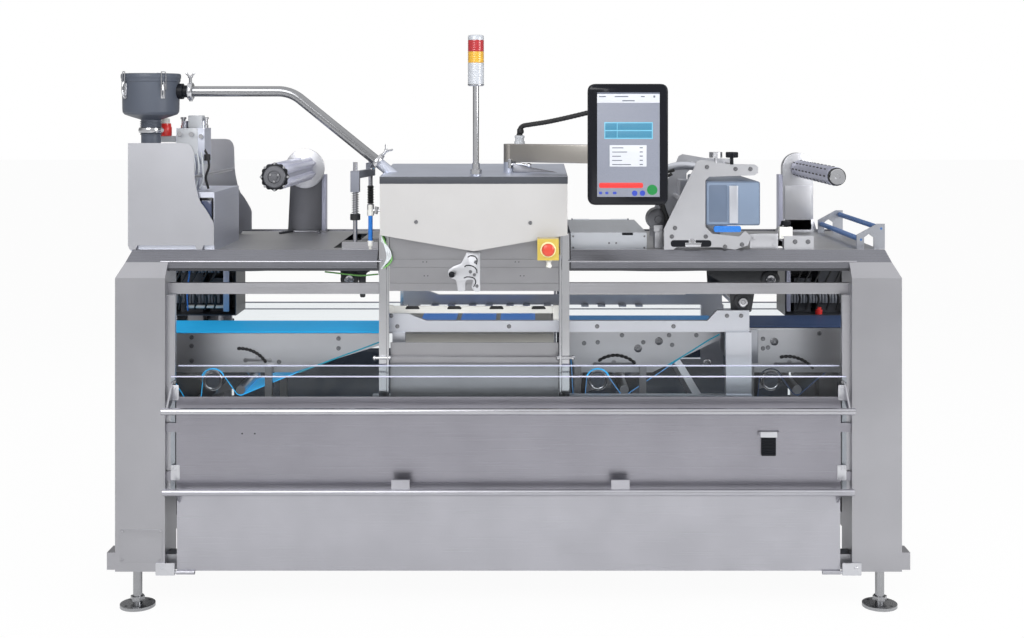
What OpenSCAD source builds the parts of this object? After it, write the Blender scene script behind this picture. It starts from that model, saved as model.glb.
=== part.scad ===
// Tray sealer: film-sealing machine for food trays on a portal frame.
// X runs along the tray flow, Y from the operator's side to the back, Z up from the floor.

/* [Frame] */
// Length over the column covers
body_len = 2600; // [2400:10:2900]
// Depth over the column covers
body_d = 960; // [920:10:1100]
// Width of each column cover
column_w = 165; // [150:1:200]
// Depth of each column cover
column_d = 150; // [140:1:180]
// Height of cladding's lower edge
leg_clear = 132; // [110:1:160]
// Height where the column covers start to slope in
shoulder_h = 1102; // [1095:1:1110]
// Height of folded edge between column and deck
fold_h = 1150; // [1148:1:1156]
// Height of deck's ridge
deck_h = 1188; // [1186:1:1200]
// Setback of the folded edge from the column's front
fold_in = 40; // [30:1:45]
// Setback of the ridge from the folded edge
ridge_in = 40; // [30:1:45]
// Sideways setback of the folded edge at the ends
fold_side = 23; // [15:1:28]
// Sideways setback of the ridge at the ends
ridge_side = 13; // [8:1:20]
// Thickness of steel cladding
sheet_t = 3; // [2:0.5:4]
// Height of folded fascia under the deck's edge
fascia_h = 20; // [12:1:24]
// Width of ridge round the deck's pan
ridge_w = 15; // [8:1:25]
// Depth of deck's pan below its ridge
pan_drop = 6; // [3:0.5:8]
// Height of base rails
base_h = 50; // [40:1:60]
// Width of base rails and corner posts
base_w = 60; // [50:1:65]
// Distance from the cladding's front to the base rails
base_setback = 25; // [24:1:30]
// Width of cross rails
cross_w = 50; // [40:1:54]
// Height of long beams under the deck
beam_h = 26; // [20:1:28]
// Depth of long beams under the deck
beam_d = 40; // [30:1:50]
// Offset of film slots' inner ends from the middle
slot_half = 280; // [200:5:290]
// Width of film slots through the deck
slot_w = 60; // [40:1:70]

/* [Feet] */
// Diameter of foot disc
foot_disc_d = 116; // [90:1:130]
// Thickness of foot disc
foot_disc_t = 10; // [6:1:16]
// Diameter of threaded stem
foot_stem_d = 30; // [24:1:36]
// Circle of the floor bolt holes
foot_pcd = 88; // [70:1:92]
// Diameter of floor bolt holes
foot_hole_d = 10; // [6:0.5:12]
// Offset of feet from the ends
foot_inset = 60; // [50:1:70]

/* [Front panels and guards] */
// Gap between column and front panel
side_gap = 35; // [30:1:45]
// Top edge of the upper front panel
panel_top = 708; // [690:1:730]
// Seam between upper panel and lower flap
panel_seam = 399; // [380:1:420]
// Gap at the seam
seam_gap = 20; // [10:1:26]
// Setback of the panels from the column's front
panel_setback = 10; // [6:1:12]
// Clearance between sliding sheets
slide_gap = 2; // [1:0.5:3]
// Height of clear guard's bent edge
guard_h = 774; // [760:1:790]
// Height of guard's bent lip
guard_lip_h = 32; // [20:1:36]
// Depth of guard's bent lip
guard_lip_d = 30; // [20:1:34]
// Height of clear sheet below its bend
guard_sheet_h = 380; // [360:1:400]
// Rear guard's lift over the front one
rear_lift = 92; // [40:1:120]
// Diameter of handle tubes
handle_d = 23; // [18:1:28]
// Wall of the handle tubes
tube_wall = 2; // [1.5:0.5:4]
// Offset of guard's handle in front of the columns
grip_out = 60; // [50:1:70]
// Height of guard's handle
grip_h = 674; // [660:1:690]
// Offset of flap's handle in front of the columns
flap_grip_out = 40; // [34:1:46]
// Height of flap's handle
flap_grip_h = 405; // [402:1:412]
// Height of horizontal guard rail
rail_h = 37; // [30:1:40]
// Depth of horizontal guard rail
rail_d = 20; // [15:1:24]
// Lower edge of the horizontal guard rail
rail_z = 1043; // [1042:1:1050]
// Width of guide channel
channel_w = 28; // [20:1:29]
// Depth of guide channel
channel_d = 18; // [12:1:20]
// Height of flap's hinge axis
hinge_h = 128; // [126:1:129]
// Radius of flap's hinge knuckles
knuckle_r = 7; // [6:0.5:8]
// Radius of flap's hinge pins
pin_r = 4; // [3:0.5:5]
// Length of each hinge knuckle
knuckle_len = 60; // [40:1:80]
// Width of panel latch
latch_w = 56; // [50:1:62]
// Height of panel latch
latch_h = 80; // [70:1:90]
// Depth of panel latch's paddle
latch_d = 12; // [8:1:14]
// Setback of the latch from the front panel's end
latch_in = 240; // [150:5:300]
// Height of panel latch's top
latch_top = 594; // [560:1:620]

/* [Sealing station] */
// Gap between the deck plates and the station
station_gap = 5; // [3:1:8]
// Offset of station's middle left of the middle
station_off = 115.5; // [110:0.5:121]
// Width over the station's uprights
station_w = 637; // [633:1:641]
// Width of an upright
upright_w = 24; // [22:1:27]
// Depth of an upright
upright_d = 40; // [34:1:44]
// Setback of the uprights from the head's face
upright_in = 30; // [28:1:32]
// Diameter of guide rods
guide_rod_d = 10; // [8:1:12]
// Width of hood
hood_w = 621; // [619:1:623]
// Setback of the hood's front behind the columns' front
hood_setback = 10; // [8:1:12]
// Height of hood's eaves
hood_eave = 1437; // [1420:1:1450]
// Height of lid's ridge
hood_ridge = 1461; // [1457:1:1470]
// Depth of lid's dark edge
lid_edge_h = 24; // [18:1:30]
// Height of hood's lower side edges
hood_z = 1243; // [1238:1:1250]
// Drop of the hood's V-shaped front below its side edges
hood_vee = 53; // [40:1:60]
// Thickness of head plate
head_t = 20; // [15:1:25]
// Setback of the station's head in the hood
head_in = 40; // [36:1:45]
// Lower face of the heated upper tool
head_z = 1053; // [1050:1:1058]
// Height of heated upper tool
upper_tool_h = 97; // [80:1:110]
// Width of both tools
tool_w = 540; // [480:1:550]
// Depth of both tools
tool_d = 500; // [440:1:506]
// Top of the lower tool
tool_z = 880; // [870:1:884]
// Height of lower tool
lower_tool_h = 60; // [50:1:80]
// Width of a tray pocket
pocket_w = 127; // [100:1:130]
// Length of a tray pocket
pocket_l = 400; // [300:5:420]
// Depth of a tray pocket
pocket_d = 40; // [25:1:45]
// Spacing of the tray pockets
pocket_pitch = 144; // [140:1:150]
// Height of rim round each tray pocket
pocket_rim = 12; // [6:1:16]
// Radius of hanger rods
hanger_r = 12; // [8:1:16]
// Radius of lift rams
ram_r = 25; // [18:0.5:30]
// Radius of lift cylinders
lift_cyl_r = 40; // [36:1:50]
// Height of lift cylinders' upper end
lift_cyl_top = 620; // [560:1:622]
// Spacing of the lift cylinders
lift_pitch = 300; // [240:1:360]
// Thickness of grooved tool covers
cover_t = 6; // [4:1:8]
// Width of grooves in the tool covers
groove_w = 3; // [2:0.5:5]
// Width of tool lock lever
lock_w = 110; // [90:1:120]
// Height of tool lock lever
lock_h = 133; // [110:1:140]
// Radius of lock lever's knob
lock_knob_r = 9; // [7:0.5:11]
// Radius of lock lever's pivot pin
lock_pin_r = 5; // [3:0.5:7]

/* [Stop box and lamp] */
// Side of the emergency stop box
stop_box_w = 70; // [60:1:80]
// Depth of emergency stop box
stop_box_d = 55; // [45:1:60]
// Height of stop box's middle
stop_z = 1201; // [1195:1:1210]
// Place of stop box right of the middle
stop_x = 130; // [120:1:134]
// Diameter of stop button's mushroom head
stop_head_d = 42; // [34:1:48]
// Height of stop button's mushroom head
stop_head_h = 16; // [10:1:18]
// Radius of stop button's stem
stop_stem_r = 10; // [7:0.5:12]
// Travel of the stop button
stop_move = 5; // [3:0.5:6]
// Diameter of signal lamp
lamp_d = 56; // [40:1:70]
// Height of each lamp lens
lens_h = 38; // [30:1:50]
// Height of lamp's base
lamp_base_h = 75; // [50:1:90]
// Height of lamp's cap
lamp_cap_h = 17; // [10:1:24]
// Height of lamp base's lower edge
lamp_z = 1739; // [1700:1:1760]
// Diameter of lamp's pole
pole_d = 20.5; // [16:0.5:26]

/* [Tray transfer] */
// Length of a gripper beam
gripper_len = 1234; // [1100:2:1300]
// Height of a gripper beam
gripper_h = 38; // [30:1:44]
// Thickness of a gripper beam
gripper_t = 20; // [14:1:24]
// Lower edge of the gripper beams
gripper_z = 902; // [898:1:906]
// Setback of gripper beams from the uprights
gripper_in = 80; // [76:1:84]
// Length of gripper fingers
finger_l = 60; // [40:1:62]
// Width of a gripper finger
finger_w = 28; // [20:1:29]
// Thickness of a gripper finger
finger_t = 6; // [4:1:8]
// Height of carriage tubes
carriage_z = 660; // [656:1:670]
// Side of the carriage tubes
carriage_t = 30; // [24:1:32]
// Width of right carriage leg
leg_w = 87; // [70:1:100]
// Place of left carriage tube left of the middle
carriage_left = 365; // [350:5:375]
// Place of right carriage tube right of the middle
carriage_right = 640; // [560:5:660]

/* [Conveyors] */
// Width of conveyor belts
belt_w = 266; // [220:2:270]
// Thickness of conveyor belts
belt_t = 3; // [2:0.5:4]
// Height of infeed belt's top
infeed_z = 869; // [866:1:874]
// Height of outfeed and exit belts' top
outfeed_z = 888; // [884:1:890]
// Radius of belts' end noses
nose_r = 12; // [9:1:14]
// Radius of drive rollers
drive_r = 35.5; // [30:0.5:38]
// Height of drive rollers' axis
drive_z = 698; // [694:1:702]
// Radius of drive rollers' shafts
shaft_r = 10; // [8:0.5:14]
// Clearance of shafts in their bores
run_gap = 0.05; // [0.02:0.01:0.08]
// Clearance between belt and drive roller
belt_gap = 1; // [0.5:0.5:2]
// Radius of hidden idler turns
idler_r = 20; // [16:1:24]
// Height of hidden idler turns
idler_z = 610; // [600:1:620]
// Height of return belt's lower bend
vee_z = 662; // [655:1:670]
// Thickness of conveyors' side plates
side_t = 5; // [4:1:8]
// Clearance between belt and side plate
plate_gap = 5; // [3:1:8]
// Lower edge of the conveyors' side plates
side_z = 727; // [724:1:735]
// Drop of the side plates below the belt's top
plate_drop = 4; // [3:1:6]
// Side of the conveyor legs
belt_leg_w = 24; // [20:1:28]
// Place of infeed conveyor's right end left of the middle
infeed_end = 446; // [440:1:460]
// Setback of infeed drive roller from the belt's end
infeed_drive_in = 240; // [230:5:250]
// Start of infeed plate's slanted edge left of the middle
infeed_slant = 768; // [740:2:800]
// Place of outfeed's left end right of the middle
outfeed_start = 210; // [208:1:216]
// Place of outfeed conveyor's right end
outfeed_end = 748; // [742:1:756]
// Place of outfeed drive roller
outfeed_drive = 312; // [306:1:320]
// Start of the outfeed plate's slanted edge
outfeed_slant = 505; // [495:1:540]
// Place of exit conveyor's left end
exit_start = 784; // [780:1:788]
// Place of exit drive roller
exit_drive = 925; // [920:1:935]
// Offset of belts' outer ends inside the covers
belt_end_inset = 10; // [6:1:20]
// Width of scalloped adjusting slots
slot_cut = 8; // [6:1:10]
// Radius of scalloped adjusting slots
slot_arc_r = 95; // [80:1:110]

/* [Film path] */
// Radius of film rollers
film_r = 20.5; // [16:0.5:24]
// Setback of film rollers' ends from the beams
film_in = 20; // [20:5:60]
// Radius of film rollers' shafts
film_pin_r = 8; // [6:0.5:9]
// Place of left film roller left of the middle
film_left = 546; // [540:1:552]
// Height of upper film rollers' axis
film_z = 1078; // [1070:1:1086]
// Place of right film roller
film_right = 895; // [885:1:905]
// Place of lower film roller
film_low = 800; // [790:1:812]
// Height of lower film roller's axis
film_low_z = 985; // [980:1:1000]
// Height of both mandrels' axis
mandrel_z = 1430; // [1415:1:1440]
// Place of unwind mandrel left of the middle
unwind_x = 796; // [780:1:810]
// Place of rewind mandrel right of the middle
rewind_x = 1116; // [1110:1:1122]
// Offset of mandrels' front ends from the middle
mandrel_y = 352; // [330:2:360]
// Radius of unwind mandrel's front disc
unwind_disc_r = 49; // [44:1:54]
// Radius of unwind mandrel's back disc
unwind_back_r = 76; // [70:1:80]
// Thickness of mandrel discs
disc_t = 12; // [8:1:16]
// Radius of unwind mandrel's core
unwind_core_r = 24; // [20:1:28]
// Width of gripping bars
grip_bar_w = 34; // [24:1:38]
// Height of gripping bars
grip_bar_h = 14; // [10:1:18]
// Radius of rewind mandrel
rewind_r = 32; // [28:1:36]
// Radius of both mandrels' shafts
spindle_r = 12; // [10:0.5:16]
// Depth of mandrels' brackets
bracket_d = 40; // [30:1:50]
// Width of mandrels' bracket columns
bracket_w = 126; // [110:1:130]
// Radius of mandrels' bearing bosses
boss_r = 60; // [50:1:62]
// Width of bracket's flange
flange_w = 16; // [10:1:24]
// Setback of guide rollers from the ridge
guide_in = 75; // [65:1:105]
// Radius of guide rollers
guide_r = 9; // [7:0.5:11]
// Place of outer guide roller
outer_x = 1272; // [1264:1:1276]
// Height of outer guide roller
outer_z = 1252; // [1246:1:1256]
// Place of inner guide roller
inner_roll_x = 1203; // [1198:1:1208]
// Height of inner guide roller
inner_roll_z = 1214; // [1210:1:1218]
// Radius of guide rollers' spindles
guide_pin_r = 4; // [3:0.5:5]
// Width of guide rollers' plates
guide_plate_w = 96; // [94:1:100]
// Height of guide rollers' plates
guide_plate_h = 86; // [84:1:92]

/* [Dancer] */
// Place of dancer's front rod left of the middle
dancer_x = 522; // [518:1:526]
// Offset of front rod from the middle
dancer_y = 350; // [340:1:360]
// Offset of rear rod from the middle
dancer_rear_y = 150; // [140:1:180]
// Sideways step from the front rod to the rear rod
dancer_step = 30; // [24:1:34]
// Radius of dancer's rods
dancer_rod_r = 7.5; // [6:0.5:9]
// Height of dancer's rods
dancer_top = 1480; // [1470:1:1500]
// Lower face of the dancer's block
block_z = 1379; // [1370:1:1390]
// Height of dancer's block
block_h = 71; // [60:1:80]
// Width of dancer's block
block_w = 30; // [26:1:34]
// Top of the dancer's stop collar
collar_top = 1304; // [1296:1:1312]
// Height of stop collar
collar_h = 20; // [14:1:24]
// Height of dancer's base
dancer_base_h = 30; // [20:1:36]
// Width of dancer's base
dancer_base_w = 122; // [110:1:126]
// Mean radius of the dancer's spring
spring_r = 11; // [10:0.5:12]
// Wire radius of the dancer's spring
spring_wire_r = 1.5; // [1:0.1:1.8]
// Curls of the dancer's spring
spring_curls = 9; // [7:1:10]

/* [Supply unit] */
// Width of supply unit's side plates
supply_w = 289; // [280:1:295]
// Height of supply unit's side plates
supply_h = 364; // [350:1:380]
// Distance from the end to the side plates
supply_inset = 20; // [18:1:24]
// Offset of front side plate from the middle
supply_front = 400; // [390:1:400]
// Offset of back side plate from the middle
supply_back = 250; // [230:5:280]
// Thickness of side plates
supply_t = 4; // [3:0.5:6]
// Width of supply cabinet
cabinet_w = 282; // [270:1:285]
// Depth of supply cabinet
cabinet_d = 405; // [380:5:420]
// Height of supply cabinet
cabinet_h = 198; // [180:1:210]
// Width of valve block
valve_w = 98; // [80:1:110]
// Depth of valve block
valve_d = 100; // [80:1:110]
// Height of valve block
valve_h = 124; // [110:1:130]
// Height of valve block's stand
stand_h = 90; // [80:1:100]
// Offset of filter pot from the end
pot_inset = 71; // [69:1:75]
// Offset of filter pot from the middle
pot_y = 300; // [290:1:310]
// Radius of filter pot
pot_r = 96; // [90:1:98]
// Radius of filter pot's lid
pot_lid_r = 100; // [99:1:101]
// Top of the filter pot's body
pot_top = 1765; // [1755:1:1770]
// Height of filter pot's straight body
pot_h = 117; // [100:1:124]
// Height of filter pot's cone
pot_cone_h = 24; // [18:1:30]
// Thickness of filter pot's lid
pot_lid_t = 17; // [12:1:20]
// Radius of filter pot's neck
pot_neck_r = 33; // [28:1:36]
// Radius of vacuum pipe
pipe_r = 18; // [16:0.5:20]
// Height of vacuum pipe's straight run
pipe_z = 1721; // [1716:1:1726]
// Radius of vacuum pipe's bend
pipe_bend_r = 120; // [100:5:150]
// Slope of the vacuum pipe's lower run
pipe_slope = 39; // [37:0.5:41]
// Radius of pipe clamps
clamp_r = 29; // [25:1:33]
// Width of pipe clamps
clamp_w = 16; // [12:1:22]
// Length of pipe's stub on the hood
stub_len = 46; // [40:1:60]

/* [Operator panel] */
// Width of operator panel
hmi_w = 262; // [240:1:280]
// Height of operator panel
hmi_h = 396; // [360:1:420]
// Depth of operator panel
hmi_d = 40; // [36:1:42]
// Place of panel's middle
hmi_x = 391; // [380:1:400]
// Height of panel's middle
hmi_z = 1545; // [1530:1:1560]
// Offset of panel's front from the middle
hmi_front = 535; // [528:1:540]
// Place of arm's pivot
arm_x = 3; // [-10:1:10]
// Offset of arm's pivot from the middle
arm_y = 298; // [280:1:310]
// Length of arm between its two pivots
arm_len = 400; // [390:1:410]
// Angle of the arm
arm_angle = 24; // [22:0.5:25]
// Height of arm's box beam
arm_h = 62; // [50:1:66]
// Width of arm's box beam
arm_w = 40; // [30:1:44]
// Height of arm's lower edge
arm_z = 1479; // [1474:1:1484]
// Radius of arm's end hubs
arm_hub_r = 22; // [20:1:24]
// Radius of arm's pivot pins
arm_pin_r = 8; // [6:0.5:10]
// Height of panel's knuckle above the arm
knuckle_h = 40; // [30:1:50]
// Diameter of conduit
conduit_d = 17; // [12:1:20]

/* [Deck units] */
// Width of junction box
jbox_w = 258; // [240:1:262]
// Height of junction box without its lid
jbox_h = 59; // [50:1:70]
// Depth of junction box
jbox_d = 550; // [500:5:560]
// Left side of the junction box
jbox_x = 210; // [206:1:214]
// Offset of junction box's front from the middle
jbox_front = 350; // [340:1:360]
// Left side of the printer's plates
printer_x = 522; // [518:1:528]
// Width of printer's plates
printer_w = 316; // [306:1:322]
// Height of printer's plates
printer_h = 309; // [300:1:320]
// Offset of printer's front plate from the middle
printer_y = 400; // [390:1:400]
// Offset of printer's back plate from the middle
printer_back = 150; // [130:5:200]
// Radius of rods between the printer's plates
printer_rod_r = 9; // [7:0.5:11]
// Depth of film clamp
clamp_block_d = 30; // [20:1:40]
// Width of control cabinets
control_w = 255; // [240:1:260]
// Depth of control cabinets
control_d = 175; // [150:1:177]
// Height of control cabinets
control_h = 236; // [200:1:240]
// Setback of control cabinets from the rear
control_back = 155; // [153:1:157]

/* [Hidden] */
$fn = 48;
// Overrun of every cut
over = 5;
// Half length and half depth of the body
hl = body_len / 2;
hd = body_d / 2;
// Inner side of the column covers
inner_x = hl - column_w;
// Folded edge and ridge
fold_y = hd - fold_in;
ridge_y = fold_y - ridge_in;
fold_x = hl - fold_side;
// Levels of the base, the beams and the deck's pan
base_top = leg_clear + base_h;
beam_top = fold_h - sheet_t;
beam_z = beam_top - beam_h;
pan_z = deck_h - pan_drop;
pan_under = pan_z - sheet_t;
guide_len = (ridge_y - ridge_w - guide_in) * 2;
// Places of feet and posts
foot_x = hl - foot_inset;
rail_y = hd - base_setback;
foot_y = rail_y - base_w / 2;
foot_nut_r = foot_stem_d * 0.8;
foot_nut_h = foot_stem_d * 0.5;
// Middle and half widths of the sealing station
cx = -station_off;
station_half = station_w / 2;
rod_off = station_half - upright_w - slide_gap / 2 - guide_rod_d / 2;
clear_half = rod_off - guide_rod_d / 2 - slide_gap / 2;
hood_half = hood_w / 2;
hood_y = hd - hood_setback;
head_half = hood_y - head_in;
upright_y = head_half - upright_in;
gripper_half = upright_y - gripper_in;
film_half = gripper_half - film_in;
lid_z0 = hood_eave - lid_edge_h;
rod_y_at = head_half - cover_t / 2;
left_edge = cx - station_half;
right_edge = cx + station_half;
// Front sheets, from the outside inwards
panel_y = hd - panel_setback;
lug_y = panel_y - sheet_t;
guard_y = lug_y - sheet_t - slide_gap;
channel_y = guard_y - sheet_t - slide_gap / 4;
panel_half = inner_x - side_gap;
guard_half = inner_x - channel_w / 2;
lip_half = inner_x - channel_w - slide_gap * 2;
handle_half = inner_x - sheet_t;
latch_x = panel_half - latch_in;
guard_z0 = guard_h - guard_sheet_h;
flap_top = panel_seam - seam_gap;
flap_z = hinge_h;
hinge_y = panel_y + pin_r;
lug_h = sheet_t * 10;
// Gap beside flat faces that slide
hair = slide_gap / 4;
lug_shares = [0.1, 0.62];
// Conveyor levels
plate_y = belt_w / 2 + plate_gap;
conv_left = -hl + belt_end_inset;
conv_right = hl - belt_end_inset;
infeed_drive = -conv_left - infeed_drive_in;
control_y = hd - control_back - control_d;
wrap_r = drive_r + belt_gap;
// Gripper beams and carriage
grip_x0 = cx - station_half + upright_w * 0.75;
grip_x1 = grip_x0 + gripper_len;
leg_x1 = grip_x1 + finger_t;
leg_x0 = leg_x1 - leg_w;
tube_y = gripper_half + gripper_t / 2;
tube_top = carriage_z + carriage_t;
// Film path
pot_x = -hl + pot_inset;
outlet_end = pot_x + pot_r * 1.42;
flange_t = clamp_w / 2;
lamp_off = 6.5;
lamp_y = hood_y - lamp_d / 2;
lamp_foot_z = hood_eave + sheet_t * 2.5;
bolt_r = hanger_r * 0.66;
bolt_h = cover_t * 0.8;
// Pivot of the tool lock lever
lock_x = cx + over * 1.1;
lock_z = hood_z - upper_tool_h + pin_r;
// Vacuum pipe: corner, ends of the bend and end at the hood
bend_t = pipe_bend_r * tan(pipe_slope / 2);
pipe_run = pipe_z - hood_ridge - stub_len / 2.4;
pipe_end_z = pipe_z - pipe_run;
pipe_end_x = left_edge - pipe_r;
corner_x = pipe_end_x - pipe_run / tan(pipe_slope);

// Places and outlines as shares of the piece that carries them
groove_shares = [0.13, 0.41, 0.553];
lower_cover_shares = [[0.3, 0], [0.3, 0.835], [0.45, 0.84], [0.45, 0.898], [1, 0.902], [1, 0.933],
  [0.3, 0.936], [0.3, 1], [0, 1], [0, 0]];
gripper_shares = [[0, 0], [1, 0], [1, 1.92], [0.911, 1.92], [0.885, 1], [0.11, 1], [0.057, 1.63],
  [0, 1.63]];
lock_shares = [[0.32, 0], [0.55, 0.02], [0.55, 0.25], [0.6, 0.3], [0.8, 0.3], [0.72, 0.12],
  [0.82, 0], [1, 0], [1, 1], [0.6, 1], [0.42, 0.7], [0.16, 0.62], [0.02, 0.52], [0.02, 0.38],
  [0.16, 0.32], [0.26, 0.3]];
supply_shares = [[0, 0.04], [0.02, 0], [0.09, 0], [0.11, 0.04], [0.78, 0.04], [0.8, 0], [0.86, 0],
  [0.88, 0.04], [1, 0.04], [1, 0.233], [0.985, 0.27], [0.94, 0.333], [0.9, 0.385], [0.851, 0.435],
  [0.82, 0.49], [0.803, 0.55], [0.785, 0.62], [0.775, 0.687], [0.771, 0.76], [0.768, 0.843],
  [0.765, 0.91], [0.745, 0.96], [0.71, 0.99], [0.65, 1], [0, 1]];
printer_shares = [[0, 0], [0, 0.233], [0.325, 0.92], [0.345, 0.975], [0.393, 1], [0.67, 0.951],
  [0.96, 0.945], [1, 0.92], [1, 0.85], [0.96, 0.824], [0.478, 0.809], [0.439, 0.766],
  [0.439, 0.255], [0.51, 0.178], [0.798, 0.146], [0.862, 0.21], [0.925, 0.146], [0.893, 0.048],
  [0.754, 0], [0.596, 0.026], [0.13, 0.026], [0.1, 0]];
film_left_shares = [[0.05, 1], [1, 1], [1, 0.62], [0.76, 0.5], [0.74, 0], [0.6, 0], [0.56, 0.4],
  [0.44, 0.24], [0.2, 0.24], [0.08, 0.4], [0.05, 0.66]];
film_right_shares = [[0, 1], [1, 1], [0.98, 0.52], [0.9, 0.42], [0.68, 0.42], [0.62, 0],
  [0.34, 0], [0.32, 0.4], [0.02, 0.6]];
guide_plate_shares = [[0, 0], [0.26, 0], [0.26, 0.46], [0.42, 0.6], [0.6, 0.46], [0.6, 0],
  [1, 0], [1, 1], [0.72, 1], [0, 0.56]];
infeed_bolt_shares = [[0.193, 0.9], [0.193, 0.68], [0.193, 0.3], [0.56, 0.27], [0.81, 0.87],
  [0.81, 0.62]];
outfeed_bolt_shares = [[0.19, 0.68], [0.35, 0.84], [0.49, 0.68], [0.84, 0.84], [0.1, 0.66],
  [0.68, 0.62], [0.66, 0.84]];
exit_bolt_shares = [[0.12, 0.86], [0.12, 0.56], [0.26, 0.56], [0.62, 0.88]];

// Places of the cross rails and of the conveyor legs
leg_xs = [-foot_x, -0.654 * hl, 0.185 * hl, 0.362 * hl, 0.654 * hl, foot_x];
upright_xs = [left_edge + upright_w / 2, right_edge - upright_w / 2];

// Moves outline shares to a place and gives them a width and a height
function placed(pts, x, z, w, h) = [for (p = pts) [x + p[0] * w, z + p[1] * h]];
// Direction of the straight run that leaves roller a and reaches roller b
function heading(a, b) = atan2(b[1] - a[1], b[0] - a[0])
  + asin((a[2] - b[2]) / norm([b[0] - a[0], b[1] - a[1]]));
// Turn of the belt on one roller, positive on rollers inside the loop
function turn(a, b, c) = let (raw = heading(b, c) - heading(a, b))
  b[2] > 0 ? raw - 360 * floor(raw / 360) : raw - 360 * ceil(raw / 360);
// Closed belt line round rollers [x, z, r], moved inwards by d
function belt_line(rolls, d) = let (n = len(rolls), steps = 16)
  [for (i = [0:n - 1]) let (a = rolls[(i + n - 1) % n], b = rolls[i], c = rolls[(i + 1) % n])
    for (k = [0:steps]) let (t = heading(a, b) + turn(a, b, c) * k / steps)
      [b[0] + (b[2] - d) * sin(t), b[1] - (b[2] - d) * cos(t)]];
// Belt rollers of a conveyor: both noses, low idler, drive, upper idler
function belt_rolls(x0, x1, top, drive, low, vee) = [[x0 + nose_r, top - nose_r, nose_r],
  [drive - low, idler_z, idler_r], [drive, drive_z, -wrap_r], [drive + vee, vee_z, idler_r],
  [x1 - nose_r, top - nose_r, nose_r]];
low_out = drive_r + idler_r * 1.5;
vee_out = drive_r + idler_r * 3;
infeed_rolls = belt_rolls(conv_left, -infeed_end, infeed_z, -infeed_drive, low_out, vee_out);
outfeed_rolls = belt_rolls(outfeed_start, outfeed_end, outfeed_z, outfeed_drive, low_out, vee_out);
exit_rolls = belt_rolls(exit_start, conv_right, outfeed_z, exit_drive, low_out, vee_out);

module box(lo, hi) {
  translate(lo) cube(hi - lo);
}
module rod_x(r, x0, x1, y, z) {
  translate([x0, y, z]) rotate([0, 90, 0]) cylinder(r = r, h = x1 - x0);
}
module rod_y(r, y0, y1, x, z) {
  translate([x, y1, z]) rotate([90, 0, 0]) cylinder(r = r, h = y1 - y0);
}
module rod_z(r, z0, z1, x, y) {
  translate([x, y, z0]) cylinder(r = r, h = z1 - z0);
}
// Outline in X and Z, thick from y0 to y1
module plate_xz(pts, y0, y1) {
  translate([0, y1, 0]) rotate([90, 0, 0]) linear_extrude(y1 - y0) polygon(pts);
}
// Outline in Y and Z, long from x0 to x1
module profile_yz(pts, x0, x1) {
  translate([x0, 0, 0]) rotate([90, 0, 90]) linear_extrude(x1 - x0) polygon(pts);
}
// Rounds the corners of a point list, n points a corner
function smooth(p, n) = let (m = len(p)) concat([p[0]], [for (i = [1:m - 2]) for (k = [0:n - 1])
  let (t = k / (n - 1) * 0.98 + 0.01, a = (p[i - 1] + p[i]) / 2, b = (p[i] + p[i + 1]) / 2)
  (1 - t) * (1 - t) * a + 2 * t * (1 - t) * p[i] + t * t * b], [p[m - 1]]);
// Direction of a path at its point i
function along(p, i) = let (d = p[min(i + 1, len(p) - 1)] - p[max(i - 1, 0)]) d / norm(d);
// Rings of n points round a path in X and Z
function rings(p, r, n) = [for (i = [0:len(p) - 1], k = [0:n - 1])
  let (d = along(p, i), a = k * 360 / n)
  [p[i][0] - r * cos(a) * d[1], -r * sin(a), p[i][1] + r * cos(a) * d[0]]];
// Side faces between m rings of n points
function skin(m, n) = [for (i = [0:m - 2], k = [0:n - 1], h = [0, 1])
  let (e = (k + 1) % n, p = i * n, q = p + n) h == 0 ? [p + k, q + k, q + e] : [p + k, q + e, p + e]];
function tube_faces(m, n) = concat([[for (k = [0:n - 1]) k]],
  [[for (k = [n - 1:-1:0]) (m - 1) * n + k]], skin(m, n));
module swept(path, r, n) {
  polyhedron(rings(path, r, n), tube_faces(len(path), n));
}
module both_sides() {
  children();
  mirror([0, 1, 0]) children();
}
module both_ends() {
  children();
  mirror([1, 0, 0]) children();
}

module levelling_feet() {
  color("#c3c6ca") both_sides() both_ends() translate([foot_x, foot_y, 0]) {
    difference() {
      cylinder(d = foot_disc_d, h = foot_disc_t);
      for (a = [45:90:315]) rotate(a) translate([foot_pcd / 2, 0, -over])
        cylinder(d = foot_hole_d, h = foot_disc_t + 2 * over);
    }
    cylinder(d = foot_stem_d, h = leg_clear);
    translate([0, 0, foot_disc_t * 2]) cylinder(r = foot_nut_r, h = foot_nut_h, $fn = 6);
  }
}
module long_rail_bar() {
  box([-hl + sheet_t, rail_y - base_w, leg_clear], [hl - sheet_t, rail_y, base_top]);
}
module base_rails() {
  color("#b9bcc0") both_sides() long_rail_bar();
}
module cross_rails() {
  reach = rail_y - base_w;
  color("#b9bcc0") for (x = concat(leg_xs, upright_xs, [cx]))
    box([x - cross_w / 2, -reach, leg_clear], [x + cross_w / 2, reach, base_top]);
}
module frame_posts() {
  color("#b9bcc0") {
    both_sides() both_ends() box([foot_x - base_w / 2, rail_y - base_w, base_top],
      [foot_x + base_w / 2, rail_y, beam_z]);
    both_sides() for (x = leg_xs) box([x - belt_leg_w / 2, plate_y + side_t, base_top],
      [x + belt_leg_w / 2, plate_y + side_t + belt_leg_w, side_z + belt_leg_w]);
  }
}
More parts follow.
